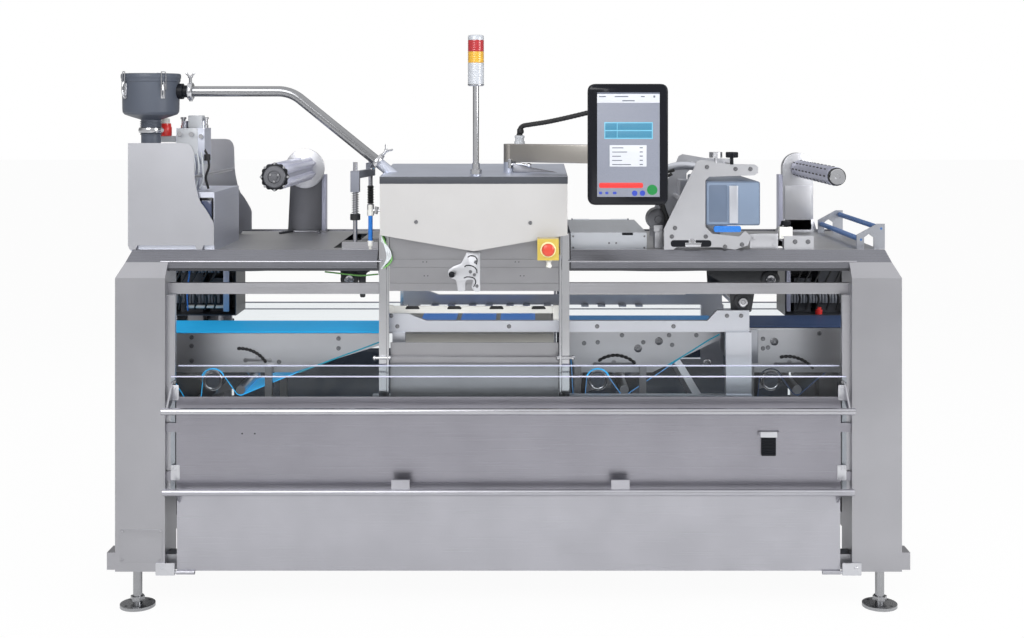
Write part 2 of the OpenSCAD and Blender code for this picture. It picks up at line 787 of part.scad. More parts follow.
// Solid form of a column cover, moved inwards by d
module column_form(d, cut) {
  intersection() {
    profile_yz([[hd - column_d - cut, leg_clear - cut], [hd - d, leg_clear - cut],
      [hd - d, shoulder_h - d / 2], [fold_y - d / 2, fold_h - d],
      [hd - column_d - cut, fold_h - d]], 0, hl);
    plate_xz([[inner_x + d, leg_clear - cut], [hl - d, leg_clear - cut],
      [hl - d, shoulder_h - d / 2], [fold_x - d / 2, fold_h - d], [inner_x + d, fold_h - d]],
      0, hd);
  }
}
module column_covers() {
  color("#d8d9da") both_sides() both_ends() difference() {
    column_form(0, 0);
    column_form(sheet_t, over);
    box([0, rail_y - base_w - slide_gap, 0], [inner_x + base_w, rail_y + slide_gap,
      base_top + slide_gap]);
    box([0, fold_y - beam_d - sheet_t - slide_gap * 2, beam_z - slide_gap],
      [inner_x + base_w, fold_y - sheet_t, beam_top]);
  }
}
module end_panels() {
  back = hd - column_d;
  color("#d8d9da") both_ends() {
    box([hl - sheet_t, -back, leg_clear], [hl, back, panel_top]);
    both_sides() box([hl, rail_y - base_w, leg_clear + sheet_t],
      [hl + lug_h, panel_y, base_top + foot_disc_t]);
  }
}
// Section of a deck plate, moved inwards by d
function deck_section(d, cut) = let (edge = ridge_y - ridge_w + d, pan = pan_z - d)
  [[-fold_y + d * 1.4, fold_h - cut], [-ridge_y + d / 2, deck_h - d], [-edge, deck_h - d],
  [-edge, pan], [edge, pan], [edge, deck_h - d], [ridge_y - d / 2, deck_h - d],
  [fold_y - d * 1.4, fold_h - cut]];
module deck_form(x0, x1, left, right, d, cut) {
  intersection() {
    profile_yz(deck_section(d, cut), x0, x1);
    plate_xz([[x0 + d * 1.2, fold_h - cut], [x0 + left + d, deck_h], [x1 - right - d, deck_h],
      [x1 - d * 1.2, fold_h - cut]], -hd, hd);
  }
}
module deck_plate(x0, x1, left, right, slot_x) {
  a = max(x0, -inner_x);
  b = min(x1, inner_x);
  difference() {
    union() {
      difference() {
        deck_form(x0, x1, left, right, 0, 0);
        deck_form(x0, x1, left, right, sheet_t, over);
      }
      both_sides() box([a, fold_y - sheet_t, fold_h - fascia_h],
        [b, fold_y, fold_h + sheet_t / 2]);
    }
    box([slot_x, -slot_half, fold_h], [slot_x + slot_w, slot_half, deck_h]);
  }
}
module deck_plates() {
  color("#cfd1d2") {
    deck_plate(-fold_x, left_edge - station_gap, ridge_side, 0, -film_left - slot_w);
    deck_plate(right_edge + station_gap, fold_x, 0, ridge_side, film_right + slot_w / 2);
  }
}
module long_beams() {
  in_y = fold_y - sheet_t - slide_gap / 2 - beam_d;
  end_x = fold_x - sheet_t * 2;
  color("#2b2d31") both_sides() {
    box([-end_x, in_y, beam_z], [left_edge, in_y + beam_d, beam_top]);
    box([right_edge, in_y, beam_z], [end_x, in_y + beam_d, beam_top]);
    box([left_edge, upright_y - upright_d, carriage_z + over],
      [right_edge, upright_y - upright_d / 2, tube_top - over]);
  }
}
module cross_beams() {
  reach = fold_y - sheet_t - slide_gap / 2 - beam_d;
  color("#2b2d31") for (x = [-inner_x + cross_w, -foot_x + cross_w * 7, -film_left - slot_w - cross_w,
    right_edge + station_gap + cross_w, inner_x - cross_w])
    box([x - cross_w / 2, -reach, beam_z], [x + cross_w / 2, reach, pan_under]);
}
module guard_rails() {
  y0 = fold_y - beam_d / 4;
  color("#d5d7d9") both_sides() {
    box([-inner_x, y0 - rail_d, rail_z], [left_edge, y0, rail_z + rail_h]);
    box([right_edge, y0 - rail_d, rail_z], [inner_x, y0, rail_z + rail_h]);
    both_ends() box([inner_x - channel_w, channel_y - channel_d, guard_z0],
      [inner_x, channel_y, rail_z]);
  }
}
module panel_lugs(z0, z1) {
  both_ends() for (s = lug_shares) box([panel_half - lug_h / 3, -lug_y, z0 + (z1 - z0) * s],
    [inner_x, -lug_y + sheet_t, z0 + (z1 - z0) * s + lug_h]);
}
module front_panel() {
  pin_y = panel_y + latch_d / 2 + hair;
  ear_x = latch_w / 2 + hair;
  color("#d8d9da") difference() {
    union() {
      box([-panel_half, -panel_y, panel_seam], [panel_half, -lug_y, panel_top]);
      panel_lugs(panel_seam, panel_top);
      for (x = [latch_x - ear_x - cover_t, latch_x + ear_x])
        box([x, -pin_y - latch_d / 2, latch_top - latch_d],
          [x + cover_t, -panel_y + sheet_t / 2, latch_top]);
    }
    rod_x(pin_r + run_gap, latch_x - ear_x - cover_t - over, latch_x + ear_x + cover_t + over,
      -pin_y, latch_top - latch_d / 2);
  }
}
module rear_panel() {
  color("#d8d9da") mirror([0, 1, 0]) {
    box([-panel_half, -panel_y, leg_clear + slide_gap], [panel_half, -lug_y, panel_top]);
    panel_lugs(leg_clear, panel_top);
  }
}
module panel_latch() {
  pin_y = panel_y + latch_d / 2 + hair;
  pin_z = latch_top - latch_d / 2;
  half = latch_w / 2;
  color("#26282b") {
    box([latch_x - half, -pin_y - latch_d / 2, latch_top - latch_h],
      [latch_x + half, -pin_y + latch_d / 2, pin_z]);
    rod_x(latch_d / 2, latch_x - half, latch_x + half, -pin_y, pin_z);
    rod_x(pin_r, latch_x - half - cover_t, latch_x + half + cover_t, -pin_y, pin_z);
  }
}
module station_uprights() {
  x = rod_off;
  color("#8d9196") both_sides() for (s = [-1, 1]) {
    box([cx + s * (station_half - upright_w / 2) - upright_w / 2, upright_y - upright_d / 2,
      base_top], [cx + s * (station_half - upright_w / 2) + upright_w / 2,
      upright_y + upright_d / 2, hood_z]);
    rod_z(guide_rod_d / 2, base_top, hood_z, cx + s * x, rod_y_at);
  }
}
module hood_shell() {
  in = hood_half - sheet_t;
  front = [[cx - hood_half, hood_z], [cx, hood_z - hood_vee],
    [cx + hood_half, hood_z], [cx + hood_half, lid_z0], [cx - hood_half, lid_z0]];
  color("#e9e7e0") {
    both_sides() plate_xz(front, hood_y - sheet_t, hood_y);
    for (x = [cx - hood_half, cx + in])
      box([x, -hood_y, hood_z], [x + sheet_t, hood_y, lid_z0]);
  }
}
module hood_lid() {
  d = sheet_t;
  color("#dcdedf") {
    difference() {
      profile_yz([[-hood_y, lid_z0], [-hood_y, hood_eave], [0, hood_ridge], [hood_y, hood_eave],
        [hood_y, lid_z0]], cx - hood_half, cx + hood_half);
      profile_yz([[-hood_y + d, lid_z0 - over], [-hood_y + d, hood_eave - d],
        [0, hood_ridge - d], [hood_y - d, hood_eave - d], [hood_y - d, lid_z0 - over]],
        cx - hood_half + d, cx + hood_half - d);
    }
    rod_z(arm_hub_r, hood_eave, arm_z - run_gap, arm_x, -arm_y);
    rod_z(arm_pin_r, hood_eave, arm_z + arm_h, arm_x, -arm_y);
    rod_z(foot_stem_d / 2, lid_z0, lamp_foot_z, cx + lamp_off, -lamp_y);
    difference() {
      translate([pipe_end_x, -pot_y, pipe_end_z]) rotate([0, 90 + pipe_slope, 0]) {
        cylinder(r = pipe_r, h = pipe_r * 4.2);
        cylinder(r = clamp_r, h = flange_t);
      }
      box([cx - hood_half, -pot_y - pipe_r * 2, lid_z0 - pipe_r * 3],
        [cx, -pot_y + pipe_r * 2, hood_eave]);
    }
  }
}
module upper_tool() {
  in = hood_half - sheet_t - hair;
  color("#9a9ea3") {
    box([cx - in, -head_half, hood_z], [cx + in, head_half, hood_z + head_t]);
    box([cx - tool_w / 2, -tool_d / 2, head_z],
      [cx + tool_w / 2, tool_d / 2, head_z + upper_tool_h]);
    for (x = [-1, 1], y = [-1, 1]) rod_z(hanger_r, head_z + upper_tool_h / 2,
      hood_z + head_t / 2, cx + x * tool_w * 0.35, y * tool_d * 0.35);
  }
}
module station_covers() {
  h = hood_z - head_z;
  y0 = upright_y - upright_d / 4;
  z1 = tool_z - foot_disc_t / 2;
  color("#cdd0d2") {
    both_sides() difference() {
      box([cx - clear_half, head_half - cover_t, head_z],
        [cx + clear_half, head_half, hood_z]);
      for (s = groove_shares) box([cx - clear_half - over, head_half - cover_t / 2,
        head_z + s * h], [cx + clear_half + over, head_half + over,
        head_z + s * h + groove_w]);
      rod_y(lock_pin_r + run_gap, head_half - cover_t - over, head_half + over, lock_x, lock_z);
    }
    both_sides() profile_yz(placed(lower_cover_shares, y0, base_top,
      head_half - y0 - hanger_r * 1.5, z1 - base_top), cx - clear_half, cx + clear_half);
  }
}
module tool_lock_lever() {
  x0 = lock_x - lock_w * 0.86;
  z0 = lock_z - lock_h * 0.74;
  front = head_half + hair;
  color("#54585d") {
    plate_xz(placed(lock_shares, x0, z0, lock_w, lock_h), -front - cover_t, -front);
    rod_y(lock_pin_r, -front - cover_t * 1.5, -head_half + cover_t, lock_x, lock_z);
    rod_y(lock_pin_r * 0.7, -front - cover_t * 2.4, -front - cover_t / 2, x0 + lock_w * 0.14,
      z0 + lock_h * 0.44);
    translate([x0 + lock_w * 0.14, -front - cover_t * 3.3, z0 + lock_h * 0.44])
      sphere(r = lock_knob_r);
  }
}
// Rounded tray pocket, wider by d on every side
module pocket(d, z0, z1) {
  r = pocket_w / 8;
  w = pocket_w / 2 + d;
  l = pocket_l / 2 + d;
  box([-w + r, -l, z0], [w - r, l, z1]);
  box([-w, -l + r, z0], [w, l - r, z1]);
  for (x = [-1, 1], y = [-1, 1]) rod_z(r, z0, z1, x * (w - r), y * (l - r));
}
module lower_tool() {
  z0 = tool_z - lower_tool_h;
  rim = pocket_rim / 4;
  color("#2e62a8") {
    difference() {
      union() {
        box([cx - tool_w / 2, -tool_d / 2, z0], [cx + tool_w / 2, tool_d / 2, tool_z]);
        for (i = [-1:1]) translate([cx + i * pocket_pitch, 0, 0])
          pocket(rim, z0 + rim, tool_z + pocket_rim);
      }
      for (i = [-1:1]) translate([cx + i * pocket_pitch, 0, 0])
        pocket(0, tool_z - pocket_d, tool_z + pocket_rim + over);
    }
    for (y = [-1, 1]) rod_z(ram_r, lift_cyl_top - upper_tool_h * 2.8, z0 + rim, cx,
      y * lift_pitch / 2);
  }
}
module lift_cylinders() {
  color("#b4b8bc") for (y = [-1, 1]) difference() {
    rod_z(lift_cyl_r, base_top, lift_cyl_top, cx, y * lift_pitch / 2);
    rod_z(ram_r + run_gap, lift_cyl_top - upper_tool_h * 3, lift_cyl_top + over, cx,
      y * lift_pitch / 2);
  }
}
module gripper_beam() {
  y0 = gripper_half;
  color("#a9adb2") {
    plate_xz(placed(gripper_shares, grip_x0, gripper_z, gripper_len, gripper_h), -y0 - gripper_t,
      -y0);
    for (x = [-1:4], s = [-1, 1]) {
      px = cx + x * pocket_pitch + s * pocket_w / 4;
      box([px - finger_w / 2, -y0 - gripper_t / 2, gripper_z],
        [px + finger_w / 2, -y0 + finger_l, gripper_z + finger_t]);
    }
  }
}
module gripper_beam_front() {
  gripper_beam();
}
module gripper_beam_rear() {
  mirror([0, 1, 0]) gripper_beam();
}
module gripper_carriage() {
  color("#8d9196") {
    both_sides() {
      box([leg_x0 - gripper_len + leg_w * 0.4, tube_y, carriage_z],
        [leg_x1, tube_y + carriage_t, tube_top]);
      box([leg_x0, tube_y - gripper_t / 2, carriage_z + over], [leg_x1, tube_y + gripper_t,
        gripper_z]);
      box([grip_x0 + gripper_t, tube_y - gripper_t / 2, carriage_z + over],
        [grip_x0 + gripper_t + leg_w / 2, tube_y + gripper_t, gripper_z]);
    }
    for (x = [-carriage_left, carriage_right])
      box([x - carriage_t / 2, -tube_y - over, carriage_z], [x + carriage_t / 2, tube_y + over,
        tube_top]);
  }
}
// Side plate outline of a conveyor with a slanted end
function plate_line(x0, x1, z1, slant, left_cut) = [[x0, z1], [x0, side_z + left_cut],
  [x0 + left_cut / 2, side_z], [slant, side_z],
  [x1, z1 - belt_w / 7 * (slant < x1 - over ? 1 : 2)], [x1, z1]];
// Side plates with hangers for the drive, one cut for its shaft
module conveyor_pair(x0, x1, top, slant, left_cut, drive) {
  z1 = top - plate_drop;
  t = side_t;
  hang = shaft_r * 1.8;
  back = drive + vee_out + idler_r;
  both_sides() difference() {
    union() {
      plate_xz(plate_line(x0, x1, z1, slant, left_cut), -plate_y - t, -plate_y);
      box([drive - hang, -plate_y - t, drive_z], [drive + hang, -plate_y, side_z + t]);
      rod_y(hang, -plate_y - t, -plate_y, drive, drive_z);
    }
    rod_y(shaft_r + run_gap, -plate_y - t - over, -plate_y + over, drive, drive_z);
  }
  difference() {
    plate_xz([[drive - low_out - hang, side_z + t], [drive - low_out - hang, idler_z - hang],
      [drive - low_out + hang, idler_z - hang], [back, vee_z - hang], [back, side_z + t]],
      plate_y, plate_y + t);
    rod_y(shaft_r + run_gap, plate_y - over, plate_y + t + over, drive, drive_z);
  }
  for (p = [[drive - low_out, idler_z], [drive + vee_out, vee_z]])
    rod_y(idler_r - belt_t - belt_gap, -belt_w / 2, plate_y + t / 2, p[0], p[1]);
  for (p = [[x0 + nose_r + over, z1], [x1 - nose_r - over, z1]])
    rod_y(nose_r - belt_t - belt_gap, -plate_y - t / 2, plate_y + t / 2, p[0], top - nose_r);
}
// Scalloped slot with three lobes cut through a side plate
module slot_cut_at(x, z, w) {
  for (s = [0, 0.5, 1]) rod_y(slot_cut, -plate_y - side_t - over, -plate_y + over,
    x + w * s, z + (s == 0.5 ? slot_cut : 0));
  box([x, -plate_y - side_t - over, z - slot_cut / 2],
    [x + w, -plate_y + over, z + slot_cut * 0.8]);
}
module conveyor_plates() {
  w = slot_arc_r;
  color("#c9cccf") difference() {
    union() {
      conveyor_pair(conv_left, -infeed_end, infeed_z, -infeed_slant, 0, -infeed_drive);
      conveyor_pair(outfeed_start, outfeed_end, outfeed_z, outfeed_slant, leg_w * 0.75,
        outfeed_drive);
      conveyor_pair(exit_start, conv_right, outfeed_z, conv_right, leg_w / 2, exit_drive);
    }
    slot_cut_at(-infeed_drive + w * 1.2, side_z + w * 0.45, w * 0.9);
    slot_cut_at(outfeed_drive - w * 0.1, side_z + w * 0.3, w * 1.4);
    slot_cut_at(exit_drive + w * 0.2, side_z + w * 0.3, w);
  }
}
module belt(rolls) {
  translate([0, belt_w / 2, 0]) rotate([90, 0, 0]) linear_extrude(belt_w) difference() {
    polygon(belt_line(rolls, 0));
    polygon(belt_line(rolls, belt_t));
  }
}
module conveyor_belts() {
  color("#2f6fd0") {
    belt(infeed_rolls);
    belt(outfeed_rolls);
    belt(exit_rolls);
  }
}
module drive_roller(x) {
  y1 = plate_y + side_t + hair;
  color("#b4b8bc") {
    rod_y(drive_r, -belt_w / 2, belt_w / 2, x, drive_z);
    rod_y(shaft_r, -y1 - cover_t / 2, y1, x, drive_z);
    rod_y(drive_r * 0.93, -y1 - cover_t, -y1, x, drive_z);
  }
}
module infeed_drive_roller() {
  drive_roller(-infeed_drive);
}
module outfeed_drive_roller() {
  drive_roller(outfeed_drive);
}
module exit_drive_roller() {
  drive_roller(exit_drive);
}
// Column that carries a mandrel in a bored boss
module mandrel_column(x, x0, x1, flange_x) {
  y0 = mandrel_y - hanger_r;
  foot = bracket_w / 5;
  difference() {
    union() {
      box([x0, y0, pan_z], [x1, y0 + bracket_d, mandrel_z]);
      rod_y(boss_r, y0, y0 + bracket_d, x, mandrel_z);
    }
    rod_y(spindle_r + run_gap, y0 - over, y0 + bracket_d + over, x, mandrel_z);
  }
  box([flange_x, y0 - foot / 6, pan_z], [flange_x + flange_w, y0 + bracket_d + foot / 6,
    mandrel_z - foot]);
  box([x0 - foot, y0 - foot / 4, pan_z], [x1 + foot, y0 + bracket_d / 2, pan_z + cover_t]);
}
module film_hanger(shares, x, z, w, bores) {
  y0 = film_half + film_pin_r * 0.4;
  both_sides() difference() {
    plate_xz(placed(shares, x, z, w, pan_under - z), -y0 - cover_t, -y0);
    for (p = bores) rod_y(film_pin_r + run_gap, -y0 - cover_t - over, -y0 + over,
      p[0], p[1]);
  }
}
module film_brackets() {
  right_w = film_right - film_low + guide_plate_w * 1.6;
  color("#33363b") {
    mandrel_column(-unwind_x, -unwind_x - boss_r - hanger_r, -unwind_x + boss_r,
      -unwind_x + boss_r);
    mandrel_column(rewind_x, rewind_x - boss_r, rewind_x + boss_r, rewind_x - boss_r - flange_w);
    film_hanger(film_left_shares, -film_left - bracket_d, film_z - bracket_w / 2, bracket_w,
      [[-film_left, film_z]]);
    film_hanger(film_right_shares, film_low - right_w * 0.5, film_low_z - bracket_d / 2, right_w,
      [[film_right, film_z], [film_low, film_low_z]]);
  }
}
module film_roller(x, z) {
  reach = film_half + film_pin_r * 0.4 + cover_t;
  color("#9ea3a8") {
    rod_y(film_r, -film_half, film_half, x, z);
    rod_y(film_pin_r, -reach, reach, x, z);
  }
}
module film_roller_left() {
  film_roller(-film_left, film_z);
}
module film_roller_right() {
  film_roller(film_right, film_z);
}
module film_roller_low() {
  film_roller(film_low, film_low_z);
}
module control_cabinets() {
  x1 = hl - sheet_t * 5;
  z1 = beam_z;
  t = sheet_t;
  color("#3a3d42") both_ends() {
    difference() {
      box([x1 - control_w, control_y, z1 - control_h], [x1, control_y + control_d, z1]);
      box([x1 - control_w + t, control_y - over, z1 - control_h + t],
        [x1 - t, control_y + control_d - t, z1 - t]);
    }
    box([x1 - control_w * 0.8, control_y + control_d / 2, z1 - control_h + t],
      [x1 - control_w * 0.55, control_y + control_d - t, z1 - control_h * 0.45]);
    box([x1 - control_w * 0.45, control_y + control_d * 0.4, z1 - control_h + t],
      [x1 - control_w * 0.12, control_y + control_d - t, z1 - control_h * 0.3]);
  }
}
module supply_side_plates() {
  x0 = -hl + supply_inset;
  h = supply_h;
  color("#d8d9da") {
    plate_xz(placed(supply_shares, x0, deck_h, supply_w, h - pan_drop), -supply_front,
      -supply_front + supply_t);
    plate_xz(placed(supply_shares, x0, pan_z, supply_w, h), supply_back, supply_back + supply_t);
    for (p = [[0.35, 0.62], [0.74, 0.68], [0.35, 0.92]])
      rod_y(supply_t * 1.5, -supply_front + supply_t, supply_back, x0 + p[0] * supply_w,
        pan_z + p[1] * h);
  }
}
module supply_cabinet() {
  x0 = -hl + supply_inset + over;
  y0 = -ridge_y + ridge_w;
  z1 = pan_z + cabinet_h;
  vx = x0 + cabinet_w * 0.6;
  vz = z1 + stand_h;
  color("#cfd1d2") {
    difference() {
      box([x0, y0, pan_z], [x0 + cabinet_w, y0 + cabinet_d, z1]);
      box([x0 + supply_t, y0 + supply_t, pan_z + supply_t],
        [x0 + cabinet_w - supply_t, y0 + cabinet_d + over, z1 - supply_t]);
    }
    box([vx - valve_w / 4, -valve_d * 2.2, z1 - supply_t / 2], [vx + valve_w / 4,
      -valve_d * 1.8, vz + over]);
    box([vx - valve_w / 2, -valve_d * 2.5, vz], [vx + valve_w / 2, -valve_d * 1.5,
      vz + valve_h]);
    for (s = [-0.3, 0, 0.3]) rod_z(bolt_r * 1.4, vz + valve_h / 2, vz + valve_h + valve_h / 5,
      vx + s * valve_w, -valve_d * 2);
  }
}
module filter_pot() {
  z1 = pot_top - pot_h;
  z0 = z1 - pot_cone_h;
  floor_z = pan_z + cabinet_h;
  color("#4a525e") translate([pot_x, -pot_y, 0]) {
    difference() {
      union() {
        rotate_extrude() polygon([[0, floor_z], [pot_neck_r, floor_z], [pot_neck_r, z0],
          [pot_r, z1], [pot_r, pot_top], [0, pot_top]]);
        rod_x(pipe_r, 0, outlet_end - pot_x, 0, pipe_z);
        rod_x(clamp_r, outlet_end - pot_x - flange_t, outlet_end - pot_x, 0, pipe_z);
        rod_z(pot_neck_r + flange_t, floor_z + stub_len * 2, floor_z + stub_len * 2.4, 0, 0);
      }
      rotate_extrude() polygon([[0, floor_z + over], [pot_neck_r - supply_t, floor_z + over],
        [pot_neck_r - supply_t, z0], [pot_r - supply_t, z1 + supply_t],
        [pot_r - supply_t, pot_top + over], [0, pot_top + over]]);
      rod_x(pipe_r - tube_wall, pot_neck_r, outlet_end - pot_x + over, 0, pipe_z);
    }
    for (a = [-60, 60, 180]) rotate(a - 60) box([pot_r - supply_t / 2, -clamp_w / 3,
      pot_top - pot_h * 0.7], [pot_r + over, clamp_w / 3, pot_top - hair]);
  }
}
module filter_lid() {
  color("#4a525e") translate([pot_x, -pot_y, pot_top]) {
    cylinder(r = pot_lid_r, h = pot_lid_t);
    translate([0, 0, -pot_lid_t / 2]) cylinder(r = pot_r - supply_t - hair, h = pot_lid_t);
  }
}
// Straight length of the pipe's slanted run
slant_run = pipe_run / sin(pipe_slope) - bend_t;
module pipe_piece(h) {
  difference() {
    cylinder(r = pipe_r, h = h);
    translate([0, 0, -over]) cylinder(r = pipe_r - tube_wall, h = h + 2 * over);
  }
}
module pipe_ring(r, h) {
  difference() {
    cylinder(r = r, h = h);
    translate([0, 0, -over]) cylinder(r = pipe_r - tube_wall / 2, h = h + 2 * over);
  }
}
// Pipe with a bend between two weld collars, and a clamp half at each end
module vacuum_pipe() {
  gap = 4 * run_gap;
  run = corner_x - bend_t - outlet_end;
  color("#b9bdc1") translate([0, -pot_y, 0]) {
    translate([outlet_end, 0, pipe_z]) rotate([0, 90, 0]) {
      pipe_piece(run - gap);
      pipe_ring(clamp_r, flange_t);
      translate([0, 0, run - flange_t]) pipe_ring(pipe_r + tube_wall, clamp_w);
    }
    translate([corner_x - bend_t, 0, pipe_z - pipe_bend_r]) rotate([90, 0, 0])
      rotate(90 - pipe_slope) rotate_extrude(angle = pipe_slope) translate([pipe_bend_r, 0])
      difference() {
        circle(r = pipe_r);
        circle(r = pipe_r - tube_wall);
      }
    translate([pipe_end_x, 0, pipe_end_z]) rotate([0, pipe_slope - 90, 0]) {
      pipe_piece(slant_run - gap);
      pipe_ring(clamp_r, flange_t);
      translate([0, 0, slant_run - flange_t]) pipe_ring(pipe_r + tube_wall, clamp_w);
    }
    box([outlet_end, -over, pipe_z + pipe_r + tube_wall], [outlet_end + flange_t, over,
      pipe_z + clamp_r + flange_t]);
  }
}
module unwind_mandrel() {
  y1 = mandrel_y - bracket_d;
  color("#b4b8bc") {
    rod_y(unwind_disc_r, -mandrel_y, -mandrel_y + disc_t, -unwind_x, mandrel_z);
    rod_y(unwind_core_r, -mandrel_y, y1, -unwind_x, mandrel_z);
    rod_y(unwind_back_r, y1 - disc_t, y1, -unwind_x, mandrel_z);
    rod_y(spindle_r, y1, mandrel_y + bracket_d, -unwind_x, mandrel_z);
    translate([-unwind_x, 0, mandrel_z]) for (a = [0:90:270]) rotate([0, a, 0])
      box([-grip_bar_w / 2, -mandrel_y + disc_t, unwind_core_r - over],
        [grip_bar_w / 2, y1 - disc_t, unwind_core_r + grip_bar_h]);
  }
}
module rewind_mandrel() {
  y1 = mandrel_y - bracket_d;
  color("#b4b8bc") {
    difference() {
      rod_y(rewind_r, -mandrel_y, y1, rewind_x, mandrel_z);
      translate([rewind_x, 0, mandrel_z]) for (a = [0:120:240]) rotate([0, a, 0])
        box([-groove_w, -mandrel_y + disc_t, rewind_r - groove_w],
          [groove_w, y1 - disc_t, rewind_r + over]);
    }
    rod_y(spindle_r, y1, mandrel_y + bracket_d, rewind_x, mandrel_z);
  }
}
rear_rod_x = -dancer_x + dancer_step;
module dancer_frame() {
  r = dancer_rod_r;
  mid = -dancer_x + dancer_step * 0.65;
  color("#b4b8bc") {
    box([mid - dancer_base_w / 2, -dancer_y - dancer_base_h, pan_z],
      [mid + dancer_base_w / 2, -dancer_y + dancer_base_h, pan_z + dancer_base_h]);
    rod_z(r, pan_z, dancer_top, -dancer_x, -dancer_y);
    rod_z(r * 2.1, collar_top - collar_h, collar_top, -dancer_x, -dancer_y);
    box([rear_rod_x - dancer_base_h, -dancer_rear_y - dancer_base_h, pan_z],
      [rear_rod_x + dancer_base_h, -dancer_rear_y + dancer_base_h, pan_z + collar_h]);
    rod_z(r, pan_z, dancer_top, rear_rod_x, -dancer_rear_y);
    rod_z(r * 1.6, collar_top - collar_h, collar_top + collar_h, rear_rod_x, -dancer_rear_y);
  }
}
module dancer_block() {
  w = block_w / 2;
  r = dancer_rod_r + run_gap;
  z1 = block_z + block_h;
  arm_z0 = z1 - block_h * 0.35;
  color("#5b6068") difference() {
    union() {
      box([-dancer_x - w, -dancer_y - w, block_z], [-dancer_x + w, -dancer_y + w, z1]);
      box([rear_rod_x - w, -dancer_rear_y - w, arm_z0],
        [rear_rod_x + w, -dancer_rear_y + w, z1 + collar_h]);
      translate([0, 0, arm_z0]) linear_extrude(z1 - arm_z0) polygon([[-dancer_x, -dancer_y],
        [-dancer_x + w, -dancer_y], [rear_rod_x + w, -dancer_rear_y],
        [rear_rod_x, -dancer_rear_y]]);
    }
    rod_z(r, pan_z, dancer_top + over, -dancer_x, -dancer_y);
    rod_z(r, pan_z, dancer_top + over, rear_rod_x, -dancer_rear_y);
  }
}
spring_rings = spring_curls * 8;
spring_end = spring_wire_r * 1.2;
spring_span = block_z - collar_top - 2 * spring_end;
// Ring of points round the wire, for each step along the coil
spring_points = [for (i = [0:spring_rings], k = [0:5])
  let (a = i * 45, b = k * 60, r = spring_r + spring_wire_r * cos(b))
  [r * cos(a), r * sin(a), spring_span * i / spring_rings + spring_wire_r * sin(b)]];
module dancer_spring() {
  color("#8d9196") translate([-dancer_x, -dancer_y, collar_top + spring_end])
    polyhedron(spring_points, tube_faces(spring_rings + 1, 6));
}
module signal_tower() {
  r = lamp_d / 2;
  color("#8f9396") translate([cx + lamp_off, -lamp_y, 0]) {
    rod_z(pole_d / 2, lamp_foot_z, lamp_z + over, 0, 0);
    rod_z(pole_d, lamp_foot_z, lamp_foot_z + clamp_w, 0, 0);
    rod_z(r, lamp_z, lamp_z + lamp_base_h, 0, 0);
    rod_z(r - slide_gap, lamp_z + lamp_base_h, lamp_z + lamp_base_h + 2 * lens_h, 0, 0);
    rod_z(r, lamp_z + lamp_base_h + 2 * lens_h, lamp_z + lamp_base_h + 2 * lens_h + lamp_cap_h,
      0, 0);
  }
}
conduit_shares = [[0.09, 0.2], [0.09, 0.8], [0.13, 1], [0.33, 1.2], [0.69, 1.7], [0.92, 2.1],
  [1, 2.1], [1, 1.6]];
module hmi_arm() {
  top = arm_z + arm_h;
  r = conduit_d / 2;
  pts = placed(conduit_shares, 0, top, arm_len, arm_h);
  pin_top = top + arm_h * 1.5;
  color("#a9adb2") translate([arm_x, -arm_y, 0]) rotate(-arm_angle) {
    difference() {
      union() {
        rod_z(arm_hub_r, arm_z, top, 0, 0);
        box([0, -arm_w / 2, arm_z], [arm_len, arm_w / 2, top]);
      }
      rod_z(arm_pin_r + run_gap, arm_z - over, top + over, 0, 0);
    }
    rod_z(arm_hub_r, arm_z, top, arm_len, 0);
    rod_z(arm_pin_r, top - over, pin_top, arm_len, 0);
    difference() {
      union() {
        rod_z(r * 1.5, top - over, top + arm_h / 2, arm_len * 0.09, 0);
        rod_z(r * 1.5, pin_top - over, pin_top + arm_h / 4, arm_len, 0);
      }
      rod_z(r + hair, top + over, top + arm_h, arm_len * 0.09, 0);
      rod_z(r + hair, pin_top, pin_top + arm_h, arm_len, 0);
    }
    swept(smooth(pts, 5), r, 12);
  }
}
module hmi_panel() {
  px = arm_x + arm_len * cos(arm_angle);
  py = -arm_y - arm_len * sin(arm_angle);
  z0 = arm_z + arm_h + hair;
  y1 = -hmi_front + hmi_d;
  color("#2c2f33") difference() {
    union() {
      box([hmi_x - hmi_w / 2, -hmi_front, hmi_z - hmi_h / 2],
        [hmi_x + hmi_w / 2, y1, hmi_z + hmi_h / 2]);
      box([px - arm_hub_r, y1 - over, z0], [px + arm_hub_r, py, z0 + knuckle_h]);
      rod_z(arm_hub_r, z0, z0 + knuckle_h, px, py);
    }
    rod_z(arm_pin_r + run_gap, z0 - over, z0 + knuckle_h + over, px, py);
  }
}
jbox_z = pan_z + jbox_h - cover_t;
jbox_axis_y = jbox_d - jbox_front + pin_r + slide_gap;
jbox_axis_z = jbox_z + cover_t / 2;
ear_at = knuckle_len / 3;
module junction_box() {
  y0 = -jbox_front;
  y1 = y0 + jbox_d;
  t = tube_wall;
  color("#d8d9da") {
    difference() {
      box([jbox_x, y0, pan_z], [jbox_x + jbox_w, y1, jbox_z]);
      box([jbox_x + t, y0 + t, pan_z + t], [jbox_x + jbox_w - t, y1 - t, jbox_z + over]);
    }
    difference() {
      for (x = [jbox_x + ear_at, jbox_x + jbox_w - ear_at - cover_t])
        box([x, y1 - t / 2, jbox_z - cover_t * 3], [x + cover_t, jbox_axis_y + knuckle_r,
          jbox_axis_z + knuckle_r]);
      rod_x(pin_r + run_gap, jbox_x, jbox_x + jbox_w, jbox_axis_y, jbox_axis_z);
      box([jbox_x, y0, jbox_z], [jbox_x + jbox_w, y1 + hair, jbox_z + cover_t * 2]);
    }
  }
}
